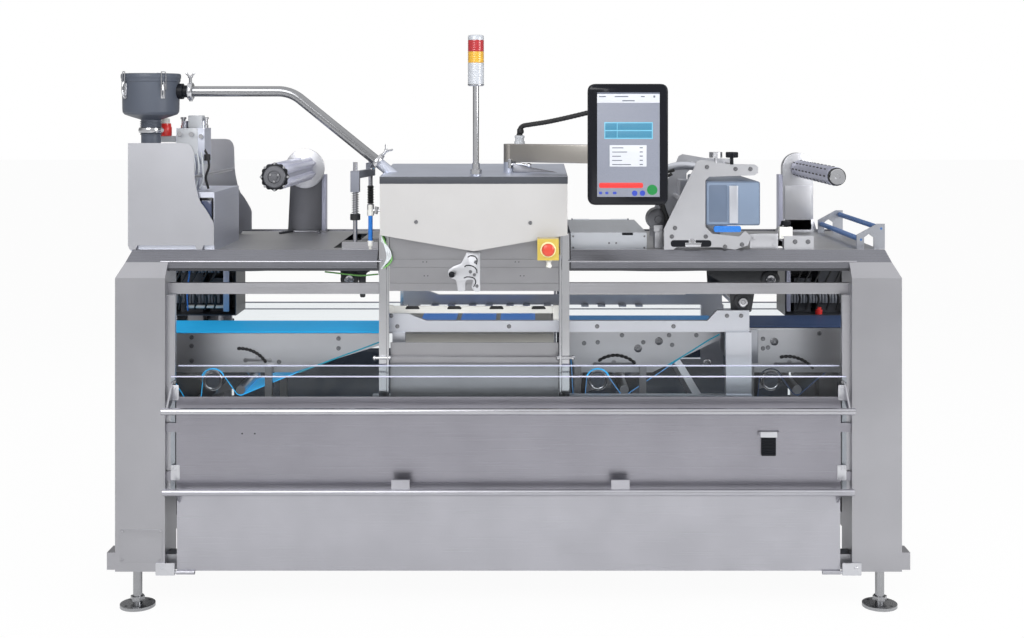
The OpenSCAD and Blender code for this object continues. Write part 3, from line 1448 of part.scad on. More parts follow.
module junction_lid() {
  y1 = jbox_d - jbox_front;
  a = jbox_x + ear_at;
  b = jbox_x + jbox_w - ear_at;
  color("#d8d9da") {
    difference() {
      box([jbox_x, -jbox_front, jbox_z], [jbox_x + jbox_w, y1, jbox_z + cover_t]);
      for (x = [a, b - cover_t])
        box([x - slide_gap, y1 - over * 2, jbox_z - over],
          [x + cover_t + slide_gap, y1 + over, jbox_z + cover_t + over]);
    }
    rod_x(pin_r, a, b, jbox_axis_y, jbox_axis_z);
    for (x = [a + cover_t + slide_gap, b - cover_t - slide_gap - knuckle_len]) {
      box([x, y1 - over, jbox_z], [x + knuckle_len, jbox_axis_y, jbox_z + cover_t]);
      rod_x(pin_r * 1.4, x, x + knuckle_len, jbox_axis_y, jbox_axis_z);
    }
  }
}
module printer_plates() {
  t = cover_t;
  w = printer_w;
  h = printer_h;
  px = printer_x + w * 0.44;
  color("#cfd1d2") {
    plate_xz(placed(printer_shares, printer_x, deck_h, w, h - pan_drop), -printer_y,
      -printer_y + t);
    plate_xz(placed(printer_shares, printer_x, pan_z, w, h), printer_back, printer_back + t);
    for (p = [[0.5, 0.88], [0.9, 0.88], [0.3, 0.5], [0.15, 0.12], [0.7, 0.09]])
      rod_y(printer_rod_r, -printer_y + t / 2, printer_back + t / 2, printer_x + p[0] * w,
        pan_z + p[1] * h);
    box([px - cross_w * 0.7, printer_back - cross_w * 2, pan_z + h * 0.4],
      [px + slide_gap, printer_back, pan_z + h * 0.7]);
    rod_z(printer_rod_r / 2, pan_z + h * 0.96, pan_z + h * 1.02, printer_x + w * 0.55,
      -printer_y + t / 2);
    rod_z(arm_hub_r, pan_z + h * 1.02, pan_z + h * 1.08, printer_x + w * 0.55,
      -printer_y + t / 2);
    box([printer_x + w + clamp_block_d * 3, -ridge_y + ridge_w, pan_z], [printer_x + w * 1.6,
      -ridge_y + ridge_w + clamp_block_d, pan_z + cross_w]);
  }
}
module printer_cassette() {
  px = printer_x + printer_w * 0.44 + slide_gap;
  color("#8792a3") box([px, -printer_y + cover_t + hair, pan_z + printer_h * 0.28],
    [px + printer_w * 0.58, printer_back - cover_t, pan_z + printer_h * 0.76]);
}
module guide_roller_plates() {
  y0 = guide_len / 2 + slide_gap * 2;
  color("#5d8fc9") both_sides() difference() {
    plate_xz(placed(guide_plate_shares, inner_roll_x - guide_r * 1.6, pan_z, guide_plate_w,
      guide_plate_h), -y0 - cover_t, -y0);
    for (p = [[outer_x, outer_z], [inner_roll_x, inner_roll_z]])
      rod_y(guide_pin_r + run_gap, -y0 - cover_t - over, -y0 + over, p[0], p[1]);
  }
}
module guide_roller(x, z) {
  reach = guide_len / 2 + slide_gap * 2 + cover_t;
  color("#2f5fa6") {
    rod_y(guide_r, -guide_len / 2, guide_len / 2, x, z);
    rod_y(guide_pin_r, -reach, reach, x, z);
  }
}
module guide_roller_outer() {
  guide_roller(outer_x, outer_z);
}
module guide_roller_inner() {
  guide_roller(inner_roll_x, inner_roll_z);
}
stop_y = hood_y + over;
module stop_box() {
  w = stop_box_w / 2;
  color("#f2c52a") difference() {
    union() {
      box([stop_x - w, -stop_y - stop_box_d, stop_z - w], [stop_x + w, -stop_y, stop_z + w]);
      box([stop_x - w / 2, -stop_y - over, stop_z - w * 0.8],
        [stop_x + w / 2, -head_half, stop_z - w * 0.2]);
    }
    rod_y(stop_stem_r + run_gap, -stop_y - stop_box_d - over, -stop_y - stop_box_d / 3, stop_x,
      stop_z);
  }
}
module stop_button() {
  y0 = stop_y + stop_box_d;
  color("#c8201e") {
    rod_y(stop_stem_r, -y0 - stop_move - over, -y0 + stop_box_d / 3, stop_x, stop_z);
    rod_y(stop_head_d / 2, -y0 - stop_move - stop_head_h, -y0 - stop_move, stop_x, stop_z);
  }
}
// Clear guard with its inward lip, side arms and handle tube
module guard() {
  t = sheet_t;
  lip_y = guard_y - guard_lip_d;
  lip_z = guard_h + guard_lip_h;
  tube = guard_y + grip_out + handle_d * 0.8;
  h = grip_h;
  color("#dfe6ea") {
    box([-guard_half, -guard_y, guard_z0], [guard_half, -guard_y + t, guard_h]);
    profile_yz([[-guard_y, guard_h], [-guard_y + t, guard_h - t],
      [-lip_y, lip_z - t * 1.4], [-lip_y, lip_z]], -lip_half, lip_half);
    both_ends() profile_yz([[-guard_y + t / 2, guard_h - t * 3], [-guard_y + t / 2, h + handle_d],
      [-tube + handle_d / 3, h - handle_d / 2], [-tube - handle_d / 4, h],
      [-tube + handle_d / 3, h + handle_d / 2]], panel_half + lug_h / 2 - t,
      panel_half + lug_h / 2 - t + cover_t);
    difference() {
      rod_x(handle_d / 2, -handle_half, handle_half, -tube, h);
      rod_x(handle_d / 2 - tube_wall, -handle_half - over, handle_half + over, -tube, h);
    }
  }
}
module front_guard() {
  guard();
}
module rear_guard() {
  translate([0, 0, rear_lift]) mirror([0, 1, 0]) guard();
}
module lower_flap() {
  tube = panel_y + flap_grip_out + handle_d / 2;
  half = panel_half - slide_gap;
  h = flap_grip_h;
  t = sheet_t;
  color("#d8d9da") {
    difference() {
      union() {
        box([-half, -panel_y, flap_z + pin_r], [half, -lug_y, flap_top]);
        both_ends() rod_x(knuckle_r, half - knuckle_len, half, -hinge_y, flap_z);
      }
      rod_x(pin_r + run_gap, -half - over, half + over, -hinge_y, flap_z);
    }
    both_ends() profile_yz([[-panel_y + t / 2, flap_top], [-panel_y + t / 2, flap_top - handle_d],
      [-tube - handle_d / 4, h - handle_d / 3], [-tube - handle_d / 4, h + handle_d / 3]],
      half - cover_t * 2, half - cover_t);
    for (x = [cx - pocket_pitch * 1.65, cx - pocket_pitch * 1.65 + station_w * 1.13])
      box([x - foot_inset / 2, -tube - t, h + handle_d / 4],
        [x + foot_inset / 2, -tube + t, h + handle_d * 1.8]);
    difference() {
      rod_x(handle_d / 2, -handle_half, handle_half, -tube, h);
      rod_x(handle_d / 2 - tube_wall, -handle_half - over, handle_half + over, -tube, h);
    }
  }
}
// Bolt heads on the front side plates of a conveyor
module plate_bolts(shares, x0, x1, top) {
  z1 = top - plate_drop;
  for (p = shares) rod_y(bolt_r, -plate_y - side_t - bolt_h,
    -plate_y - side_t, x0 + p[0] * (x1 - x0),
    side_z + p[1] * (z1 - side_z));
}
module fasteners() {
  hatch = [column_w - sheet_t * 8, latch_h + lug_h];
  plate = hinge_h / 3;
  color("#3b3e43") {
    plate_bolts(infeed_bolt_shares, conv_left, -infeed_end, infeed_z);
    plate_bolts(outfeed_bolt_shares, outfeed_start, outfeed_end, outfeed_z);
    plate_bolts(exit_bolt_shares, exit_start, conv_right, outfeed_z);
    for (x = [-hl + sheet_t * 5], z = [leg_clear + lug_h])
      box([x, -hd - sheet_t / 2, z], [x + hatch[0], -hd, z + hatch[1]]);
    both_sides() both_ends() {
      box([panel_half + slide_gap, -hd - cover_t, flap_z - knuckle_r],
        [inner_x + lug_h, -hd, leg_clear + lug_h]);
      box([panel_half + slide_gap, -hd - over / 5, flap_z - knuckle_r],
        [panel_half + slide_gap + cover_t, -hinge_y + knuckle_r, flap_z + knuckle_r]);
      rod_x(pin_r, panel_half - knuckle_len, panel_half + slide_gap + cover_t, -hinge_y,
        flap_z);
    }
  }
}

levelling_feet();
base_rails();
cross_rails();
frame_posts();
column_covers();
end_panels();
deck_plates();
long_beams();
cross_beams();
guard_rails();
front_panel();
rear_panel();
panel_latch();
station_uprights();
hood_shell();
hood_lid();
upper_tool();
station_covers();
tool_lock_lever();
lower_tool();
lift_cylinders();
gripper_beam_front();
gripper_beam_rear();
gripper_carriage();
conveyor_plates();
conveyor_belts();
infeed_drive_roller();
outfeed_drive_roller();
exit_drive_roller();
film_brackets();
film_roller_left();
film_roller_right();
film_roller_low();
control_cabinets();
supply_side_plates();
supply_cabinet();
filter_pot();
filter_lid();
vacuum_pipe();
unwind_mandrel();
rewind_mandrel();
dancer_frame();
dancer_block();
dancer_spring();
signal_tower();
hmi_arm();
hmi_panel();
junction_box();
junction_lid();
printer_plates();
printer_cassette();
guide_roller_plates();
guide_roller_outer();
guide_roller_inner();
stop_box();
stop_button();
front_guard();
rear_guard();
lower_flap();
fasteners();
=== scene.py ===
"""Looks of a tray sealing machine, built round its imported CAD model.

Sizes and places are millimetres in the machine's own frame: X along the tray flow, -Y towards the
operator, Z up from the floor. piece() turns them to metres.
"""

import math

import bmesh
import bpy
import numpy as np
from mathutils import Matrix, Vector


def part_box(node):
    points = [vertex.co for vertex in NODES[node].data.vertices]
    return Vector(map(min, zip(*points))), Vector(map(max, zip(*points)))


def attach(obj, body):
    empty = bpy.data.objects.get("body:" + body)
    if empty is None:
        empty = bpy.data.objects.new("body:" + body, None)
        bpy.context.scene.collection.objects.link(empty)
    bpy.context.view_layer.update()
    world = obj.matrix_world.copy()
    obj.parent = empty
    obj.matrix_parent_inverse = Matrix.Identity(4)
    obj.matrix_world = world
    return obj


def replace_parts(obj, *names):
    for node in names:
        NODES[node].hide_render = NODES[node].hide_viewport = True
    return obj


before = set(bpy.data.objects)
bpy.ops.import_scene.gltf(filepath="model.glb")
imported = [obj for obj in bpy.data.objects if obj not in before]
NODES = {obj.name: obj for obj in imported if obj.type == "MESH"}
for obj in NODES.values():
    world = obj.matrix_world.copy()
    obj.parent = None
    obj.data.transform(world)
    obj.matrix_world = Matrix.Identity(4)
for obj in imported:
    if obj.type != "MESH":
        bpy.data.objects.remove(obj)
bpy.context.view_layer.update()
SCENE = bpy.context.scene
MM = 0.001

# Directions of bolts, tubes and pins
ALONG = (1, 0, 0)
TO_BACK = (0, 1, 0)
TO_FRONT = (0, -1, 0)
UP = (0, 0, 1)
DOWN = (0, 0, -1)


# Camera, floor and light

CAMERA_AT = (54.5, -5105, 1664)
FOCAL_POINTS = 1400
PICTURE_W = 1024
SENSOR = 36
# Where the lens axis meets the picture, in points right of its middle and above it
AXIS_FROM_MIDDLE = (13, 211)
# Farthest distance that the camera shows, in metres
FAR = 200

# Strengths of the world: the fill light, and what steel mirrors in front, behind and overhead
FILL = 0.55
FRONT_WALL = 0.66
REAR_WALL = 0.26
CEILING = 1.0

# Each soft lamp: its place, the point it faces, its size in metres, its watts, and whether steel mirrors it
LAMPS = {
    "key_lamp": ((-1800, -4200, 3600), (0, 0, 1000), 2.6, 95, True),
    "right_lamp": ((3600, -2600, 2600), (0, 0, 900), 2.0, 84, True),
    "rear_lamp": ((-600, 3600, 3600), (0, 0, 1000), 2.4, 60, False),
    "low_lamp": ((300, -4300, 2400), (0, 0, 860), 1.8, 70, False),
}
FLOOR_HALF = 40


def metres(point):
    """A point in millimetres as a vector in metres."""
    return Vector([v * MM for v in point])


def set_camera():
    """A level camera that looks along +Y; its lens is the focal length in picture points times the sensor
    over the picture's width, and the shift puts its axis above the middle of the picture."""
    data = bpy.data.cameras.new("operator_side")
    data.sensor_width = SENSOR
    data.lens = FOCAL_POINTS / PICTURE_W * SENSOR
    data.shift_x = -AXIS_FROM_MIDDLE[0] / PICTURE_W
    data.shift_y = -AXIS_FROM_MIDDLE[1] / PICTURE_W
    data.clip_end = FAR
    camera = bpy.data.objects.new("operator_side", data)
    camera.location = metres(CAMERA_AT)
    camera.rotation_euler = (math.pi / 2, 0, 0)
    SCENE.collection.objects.link(camera)
    SCENE.camera = camera


def linear(code):
    """An sRGB hex colour as the linear colour that a shader takes."""
    part = np.array([int(code[i : i + 2], 16) for i in (1, 3, 5)]) / 255
    value = np.where(part <= 0.04045, part / 12.92, ((part + 0.055) / 1.055) ** 2.4)
    return (*(float(v) for v in value), 1.0)


def add(tree, kind, inputs=None, **settings):
    """Adds a node: settings go on the node itself, inputs to its sockets, as a value or as a link."""
    node = tree.nodes.new(kind)
    for name, value in settings.items():
        setattr(node, name, value)
    for name, value in (inputs or {}).items():
        if isinstance(value, bpy.types.NodeSocket):
            tree.links.new(value, node.inputs[name])
        else:
            node.inputs[name].default_value = value
    return node


def blank(name):
    """A new material with an empty node tree and its output."""
    made = bpy.data.materials.new(name)
    made.use_nodes = True
    made.node_tree.nodes.clear()
    return made, made.node_tree, add(made.node_tree, "ShaderNodeOutputMaterial")


def set_world():
    """White where it is seen and a grey fill light otherwise. A reflection finds a studio: bright walls in
    front of the machine and overhead, and a dim one behind it, which gives polished steel dark edges. The
    wall dims while the direction's Y runs from -0.75 to 0.2, and the ceiling sets in between 0.35 and 0.75
    of its Z."""
    world = bpy.data.worlds.new("studio")
    world.use_nodes = True
    tree = world.node_tree
    tree.nodes.clear()
    white = linear("#ffffff")
    ray = add(tree, "ShaderNodeLightPath")
    way = add(tree, "ShaderNodeSeparateXYZ", {0: add(tree, "ShaderNodeTexCoord").outputs["Generated"]})
    wall = add(tree, "ShaderNodeMapRange",
               {"Value": way.outputs["Y"], "From Min": -0.75, "From Max": 0.2,
                "To Min": FRONT_WALL, "To Max": REAR_WALL}, interpolation_type="SMOOTHSTEP")
    overhead = add(tree, "ShaderNodeMapRange",
                   {"Value": way.outputs["Z"], "From Min": 0.35, "From Max": 0.75},
                   interpolation_type="SMOOTHSTEP")
    tone = add(tree, "ShaderNodeMix", {"Factor": overhead.outputs[0], "A": wall.outputs[0], "B": CEILING})
    light = add(tree, "ShaderNodeBackground", {"Color": white, "Strength": FILL})
    mirror = add(tree, "ShaderNodeBackground", {"Color": white, "Strength": tone.outputs[0]})
    seen = add(tree, "ShaderNodeBackground", {"Color": white, "Strength": 1.0})
    direct = add(tree, "ShaderNodeMath",
                 {0: ray.outputs["Is Camera Ray"], 1: ray.outputs["Is Transmission Ray"]},
                 operation="MAXIMUM")
    lit = add(tree, "ShaderNodeMixShader",
              {0: ray.outputs["Is Glossy Ray"], 1: light.outputs[0], 2: mirror.outputs[0]})
    both = add(tree, "ShaderNodeMixShader",
               {0: direct.outputs[0], 1: lit.outputs[0], 2: seen.outputs[0]})
    add(tree, "ShaderNodeOutputWorld", {"Surface": both.outputs[0]})
    SCENE.world = world


def softbox(name, at, aim, size, power, mirrored_in_steel):
    """A square area lamp at a point, turned to face another point."""
    data = bpy.data.lights.new(name, "AREA")
    data.energy = power
    data.size = size
    lamp = bpy.data.objects.new(name, data)
    lamp.location = metres(at)
    away = metres(at) - metres(aim)
    lamp.rotation_euler = away.to_track_quat("Z", "Y").to_euler()
    lamp.visible_glossy = mirrored_in_steel
    lamp.visible_transmission = False
    SCENE.collection.objects.link(lamp)


def set_stage():
    """A pale floor that is almost white where it is seen and keeps a part of the machine's shadow, under
    four soft lamps."""
    surface, tree, out = blank("floor_white_paper")
    paper = add(tree, "ShaderNodeBsdfDiffuse", {"Color": linear("#f4f4f4")})
    lit = add(tree, "ShaderNodeEmission", {"Color": linear("#ffffff"), "Strength": 1.0})
    ray = add(tree, "ShaderNodeLightPath")
    direct = add(tree, "ShaderNodeMath",
                 {0: ray.outputs["Is Camera Ray"], 1: ray.outputs["Is Transmission Ray"]},
                 operation="MAXIMUM")
    mirror = add(tree, "ShaderNodeMath", {0: ray.outputs["Is Glossy Ray"], 1: 0.3}, operation="MULTIPLY")
    share = add(tree, "ShaderNodeMath", {0: direct.outputs[0], 1: 0.95, 2: mirror.outputs[0]},
                operation="MULTIPLY_ADD")
    both = add(tree, "ShaderNodeMixShader", {0: share.outputs[0], 1: paper.outputs[0], 2: lit.outputs[0]})
    tree.links.new(both.outputs[0], out.inputs["Surface"])
    data = bpy.data.meshes.new("floor")
    rim = [(x, y, 0) for x, y in corners_of(-FLOOR_HALF, FLOOR_HALF, -FLOOR_HALF, FLOOR_HALF)]
    data.from_pydata(rim, [], [(0, 1, 2, 3)])
    data.materials.append(surface)
    floor = bpy.data.objects.new("floor", data)
    SCENE.collection.objects.link(floor)
    for name, lamp in LAMPS.items():
        softbox(name, *lamp)


# Shapes: each is (points, corner numbers, corners in each face)

# Edges that bend more than this stay sharp
CREASE = math.radians(32)


def grid(points):
    """Quads between the neighbours of a rows x columns x 3 grid that closes round its columns, and a cap on
    each of its two ends."""
    rows, cols = points.shape[:2]
    i = np.arange(rows - 1)[:, None]
    j = np.arange(cols)[None, :]
    k = (j + 1) % cols
    quads = np.stack([i * cols + j, i * cols + k, (i + 1) * cols + k, (i + 1) * cols + j], -1)
    corners = np.concatenate([quads.ravel(), np.arange(cols)[::-1], (rows - 1) * cols + np.arange(cols)])
    counts = np.append(np.full((rows - 1) * cols, 4), [cols, cols])
    return points.reshape(-1, 3), corners, counts


def joined(*shapes):
    """Several shapes as one: points one after the other, and each shape's corner numbers moved on."""
    starts = np.cumsum([0] + [len(s[0]) for s in shapes[:-1]])
    return (np.vstack([s[0] for s in shapes]),
            np.concatenate([s[1] + start for s, start in zip(shapes, starts)]),
            np.concatenate([s[2] for s in shapes]))


def repeated(shape, places):
    """A shape at many places: its points with each place added."""
    points, corners, counts = shape
    places = np.asarray(places, float).reshape(-1, 3)
    steps = np.arange(len(places))[:, None] * len(points)
    moved = (points[None] + places[:, None]).reshape(-1, 3)
    return moved, (corners[None] + steps).ravel(), np.tile(counts, len(places))


def mirrored(shape, axis=0):
    """A shape and its mirror image across the plane where that axis is zero."""
    points, corners, counts = shape
    flipped = points.copy()
    flipped[:, axis] *= -1
    return joined(shape, (flipped, corners, counts))


def unit(rows):
    """Each row divided by its length."""
    return rows / np.linalg.norm(rows, axis=-1, keepdims=True)


def square_to(axis):
    """A unit axis and two unit vectors square to it and to each other."""
    a = unit(np.asarray(axis, float))
    across = unit(np.cross([0, 0, 1.0] if abs(a[2]) < 0.9 else [1.0, 0, 0], a))
    return a, across, np.cross(a, across)


def turned(base, axis, profile, sides=32):
    """A profile of (distance s, radius r) carried round an axis: base + s*axis + r*(cos t*u + sin t*w)."""
    a, u, w = square_to(axis)
    s, r = np.array(profile, float).T
    t = np.linspace(0, 2 * np.pi, sides, endpoint=False) + np.pi / sides
    round_it = np.cos(t)[:, None] * u + np.sin(t)[:, None] * w
    return grid(np.asarray(base, float) + s[:, None, None] * a + r[:, None, None] * round_it)


def flowing(points, steps=8):
    """Points on one smooth curve through the given ones: between two of them, the cubic that takes its
    slope from their neighbours."""
    p = np.asarray(points, float)
    p = np.vstack([2 * p[0] - p[1], p, 2 * p[-1] - p[-2]])
    t = np.linspace(0, 1, steps, endpoint=False)[:, None, None]
    a, b, c, d = p[:-3], p[1:-2], p[2:-1], p[3:]
    bend, twist = 2 * a - 5 * b + 4 * c - d, 3 * b - a - 3 * c + d
    curve = 0.5 * (2 * b + (c - a) * t + bend * t**2 + twist * t**3)
    return np.vstack([curve.transpose(1, 0, 2).reshape(-1, 3), p[-2:-1]])


def tube(path, radius, sides=12):
    """A circle carried along a path: at each point, radius times a ring in the plane square to the path."""
    path = np.asarray(path, float)
    along = unit(np.gradient(path, axis=0))
    least = np.eye(3)[np.argmin(np.abs(along).max(0))]
    u = unit(np.cross(along, least))
    w = np.cross(along, u)
    t = np.linspace(0, 2 * np.pi, sides, endpoint=False)[None, :, None]
    size = np.broadcast_to(np.asarray(radius, float), len(path))[:, None, None]
    return grid(path[:, None] + size * (np.cos(t) * u[:, None] + np.sin(t) * w[:, None]))


def eased(outline, radius, steps=5):
    """An outline with rounded corners: each corner P becomes (1-t)^2 A + 2t(1-t) P + t^2 B, with A and B
    on its two sides, a radius away."""
    p = np.asarray(outline, float)
    back, ahead = np.roll(p, 1, 0) - p, np.roll(p, -1, 0) - p
    near = np.broadcast_to(np.asarray(radius, float), len(p))[:, None]
    a = p + unit(back) * np.minimum(near, np.linalg.norm(back, axis=1, keepdims=True) * 0.49)
    b = p + unit(ahead) * np.minimum(near, np.linalg.norm(ahead, axis=1, keepdims=True) * 0.49)
    t = np.linspace(0, 1, steps)[None, :, None]
    return ((1 - t) ** 2 * a[:, None] + 2 * t * (1 - t) * p[:, None] + t**2 * b[:, None]).reshape(-1, 2)


def plate(outline, lo, hi, plane="xz", rim=0.8):
    """An outline carried from lo to hi across its plane, drawn in by the rim at both faces, so that its
    edges are rounded: ring = outline - inset * outward normal."""
    p = np.asarray(outline, float)
    before, after = unit(p - np.roll(p, 1, 0)), unit(np.roll(p, -1, 0) - p)
    area = np.sum(p[:, 0] * np.roll(p[:, 1], -1) - np.roll(p[:, 0], -1) * p[:, 1])
    turn_left = np.array([[0, 1], [-1, 0]]) * np.sign(area)
    inward = unit(before + after) @ turn_left
    mitre = 1 / np.maximum(0.4, np.sum(inward * (before @ turn_left), 1, keepdims=True))
    inset = np.array([1, 0.3, 0, 0, 0.3, 1])[:, None, None] * rim
    depth = np.array([lo, lo + 0.3 * rim, lo + rim, hi - rim, hi - 0.3 * rim, hi])
    ring = p[None] + inset * (inward * mitre)[None]
    flat = np.broadcast_to(depth[:, None], ring.shape[:2])
    order = {"xz": (ring[..., 0], flat, ring[..., 1]), "yz": (flat, ring[..., 0], ring[..., 1]),
             "xy": (ring[..., 0], ring[..., 1], flat)}[plane]
    return grid(np.stack(order, -1))


def corners_of(a0, a1, b0, b1):
    """The four corners of a rectangle, in order."""
    return [(a0, b0), (a1, b0), (a1, b1), (a0, b1)]


def slab(lo, hi, corner=2.0, rim=0.8, plane="xz"):
    """A block between two points with rounded corners in one plane and rounded rims across it."""
    lo, hi = np.minimum(lo, hi).astype(float), np.maximum(lo, hi).astype(float)
    a, b, n = {"xz": (0, 2, 1), "yz": (1, 2, 0), "xy": (0, 1, 2)}[plane]
    outline = corners_of(lo[a], hi[a], lo[b], hi[b])
    return plate(eased(outline, corner) if corner else outline, lo[n], hi[n], plane, rim)


def socket_head(axis, radius, height):
    """A round bolt head with a hollow in its top, from its seat along the axis."""
    r, h = radius, height
    profile = [(0, r), (h * 0.75, r), (h, r * 0.86), (h, r * 0.48), (h * 0.45, r * 0.42)]
    return turned((0, 0, 0), axis, profile, 20)


def hex_head(axis, radius, height):
    """A six-sided bolt head on a round washer."""
    thick, wide = height * 0.2, radius * 1.25
    washer = turned((0, 0, 0), axis, [(0, wide), (thick, wide)], 20)
    profile = [(thick, radius), (height * 0.85, radius), (height, radius * 0.85)]
    return joined(washer, turned((0, 0, 0), axis, profile, 6))


def piece(name, shape, finish, body="frame"):
    """Makes a shape an object in metres with outward faces and edges that are sharp past the crease angle,
    and lets it ride on a body."""
    points, corners, counts = shape
    data = bpy.data.meshes.new(name)
    data.vertices.add(len(points))
    data.vertices.foreach_set("co", (points * MM).astype(np.float32).ravel())
    data.loops.add(len(corners))
    data.loops.foreach_set("vertex_index", corners.astype(np.int32))
    data.polygons.add(len(counts))
    data.polygons.foreach_set("loop_start", np.append(0, np.cumsum(counts)[:-1]).astype(np.int32))
    data.update(calc_edges=True)
    data.validate()
    mesh = bmesh.new()
    mesh.from_mesh(data)
    bmesh.ops.recalc_face_normals(mesh, faces=mesh.faces)
    mesh.to_mesh(data)
    mesh.free()
    data.shade_smooth()
    data.set_sharp_from_angle(angle=CREASE)
    data.materials.append(finish)
    made = bpy.data.objects.new(name, data)
    SCENE.collection.objects.link(made)
    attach(made, body)
    return made


def box_of(node):
    """Lowest and highest corner of a CAD node, in millimetres."""
    lo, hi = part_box(node)
    return np.array(lo) / MM, np.array(hi) / MM


# Materials

# The span of a noise pattern that holds nearly all of its values
NOISE_LOW, NOISE_HIGH = 0.3, 0.7
# Sizes in mm of the clouds in paint and of the wipe marks on clear sheet
PAINT_CLOUD = 90
WIPE_MARK = 60
THIN_WALL_IOR = 1.01
SHEET_IOR = 1.49


def metal(name, colour, rough, streak=(400, 1.2, 1.2), depth=0.02, cloud=180, spread=0.07, tone=0.10):
    """Bare metal: fine streaks change its roughness and relief, and slow clouds of the size `cloud` change
    its tone a little, as handling and cleaning do. `streak` is how far the streaks lie apart along X, Y and
    Z. The marks of real brushing and blasting lie 0.1 to 0.3 mm apart, too fine for the render, so they are
    drawn coarser, at 1 to 3 mm. Every length is in mm."""
    made, tree, out = blank(name)
    where = add(tree, "ShaderNodeTexCoord").outputs["Object"]
    stretch = add(tree, "ShaderNodeMapping", {"Vector": where, "Scale": [1000 / s for s in streak]})
    lines = add(tree, "ShaderNodeTexNoise", {"Vector": stretch.outputs[0], "Scale": 1.0, "Detail": 3.0})
    slow = add(tree, "ShaderNodeTexNoise", {"Vector": where, "Scale": 1000 / cloud, "Detail": 2.0})
    shade = add(tree, "ShaderNodeMapRange",
                {"Value": slow.outputs["Fac"], "From Min": NOISE_LOW, "From Max": NOISE_HIGH,
                 "To Min": 1 - tone, "To Max": 1.0})
    base = add(tree, "ShaderNodeMix", {"Factor": 1.0, 6: linear(colour), 7: shade.outputs[0]},
               data_type="RGBA", blend_type="MULTIPLY")
    gloss = add(tree, "ShaderNodeMapRange",
                {"Value": lines.outputs["Fac"], "From Min": NOISE_LOW, "From Max": NOISE_HIGH,
                 "To Min": rough - spread, "To Max": rough + spread})
    relief = add(tree, "ShaderNodeBump",
                 {"Height": lines.outputs["Fac"], "Strength": 0.35, "Distance": depth * MM})
    shader = add(tree, "ShaderNodeBsdfPrincipled",
                 {"Base Color": base.outputs[2], "Metallic": 1.0, "Roughness": gloss.outputs[0],
                  "Normal": relief.outputs[0]})
    tree.links.new(shader.outputs[0], out.inputs["Surface"])
    return made


def coated(name, colour, rough, grain=1.5, depth=0.03, tone=0.06, clear_coat=0.0, metallic=0.0, glow=0.0,
           shine=0.5):
    """Paint, anodising, moulded plastic or rubber: a grain gives relief and roughness, and clouds change
    the tone. Grain and depth are in mm. The peel of paint is 1 to 2 mm wide; the finer grain of a mould is
    drawn as wide, so that it shows. `glow` is the share of its own colour that it gives off as light of its
    own, lit or not: the screens' and lenses' own light, and painted light on belts, trays and the lower
    tool."""
    made, tree, out = blank(name)
    where = add(tree, "ShaderNodeTexCoord").outputs["Object"]
    fine = add(tree, "ShaderNodeTexNoise", {"Vector": where, "Scale": 1000 / grain, "Detail": 2.0})
    slow = add(tree, "ShaderNodeTexNoise", {"Vector": where, "Scale": 1000 / PAINT_CLOUD, "Detail": 2.0})
    shade = add(tree, "ShaderNodeMapRange",
                {"Value": slow.outputs["Fac"], "From Min": NOISE_LOW, "From Max": NOISE_HIGH,
                 "To Min": 1 - tone, "To Max": 1.0})
    base = add(tree, "ShaderNodeMix", {"Factor": 1.0, 6: linear(colour), 7: shade.outputs[0]},
               data_type="RGBA", blend_type="MULTIPLY")
    gloss = add(tree, "ShaderNodeMapRange",
                {"Value": fine.outputs["Fac"], "From Min": NOISE_LOW, "From Max": NOISE_HIGH,
                 "To Min": max(0.02, rough - 0.05), "To Max": rough + 0.05})
    relief = add(tree, "ShaderNodeBump",
                 {"Height": fine.outputs["Fac"], "Strength": 0.3, "Distance": depth * MM})
    inputs = {"Base Color": base.outputs[2], "Roughness": gloss.outputs[0], "Normal": relief.outputs[0],
              "Metallic": metallic, "Coat Weight": clear_coat, "Coat Roughness": 0.08,
              "Specular IOR Level": shine}
    if glow:
        inputs |= {"Emission Color": linear(colour), "Emission Strength": glow}
    shader = add(tree, "ShaderNodeBsdfPrincipled", inputs)
    tree.links.new(shader.outputs[0], out.inputs["Surface"])
    return made


def clear(name, colour):
    """Clear sheet with faint wipe marks: a thin wall doesn't bend what is seen through it, so its body has
    an IOR near 1, its shine sits in the coat at the plastic's own IOR, and its shadow is let through."""
    made, tree, out = blank(name)
    where = add(tree, "ShaderNodeTexCoord").outputs["Object"]
    wipe = add(tree, "ShaderNodeTexNoise", {"Vector": where, "Scale": 1000 / WIPE_MARK, "Detail": 4.0})
    gloss = add(tree, "ShaderNodeMapRange", {"Value": wipe.outputs["Fac"], "To Min": 0.0, "To Max": 0.02})
    shader = add(tree, "ShaderNodeBsdfPrincipled",
                 {"Base Color": linear(colour), "Roughness": gloss.outputs[0],
                  "IOR": THIN_WALL_IOR, "Transmission Weight": 1.0,
                  "Coat Weight": 0.5, "Coat Roughness": 0.03, "Coat IOR": SHEET_IOR})
    through = add(tree, "ShaderNodeBsdfTransparent", {"Color": linear(colour)})
    ray = add(tree, "ShaderNodeLightPath")
    both = add(tree, "ShaderNodeMixShader",
               {0: ray.outputs["Is Shadow Ray"], 1: shader.outputs[0], 2: through.outputs[0]})
    tree.links.new(both.outputs[0], out.inputs["Surface"])
    return made


# Stainless sheet, cold rolled and brushed along its length: satin, with long streaks along X
sheet_steel = metal("stainless_sheet_brushed", "#b4b4b9", 0.34)
# Stainless covers blasted with glass beads: an even, soft sheen without streaks
cover_steel = metal("stainless_bead_blasted", "#aeaeb3", 0.38, streak=(2.5, 2.5, 2.5), cloud=260)
# Brushed deck sheet: the darkest sheet, a smooth grey satin with streaks along X
deck_steel = metal("stainless_deck_brushed", "#888990", 0.30)
# Deck tops, blasted: a paler, duller copy of the deck steel on every face that looks straight up, painted
# light from above; dull, so the lamps spread over them without a glare
deck_top_painted_light = metal("stainless_deck_top_painted_light", "#b9b9bb", 0.42, streak=(2.5, 2.5, 2.5))
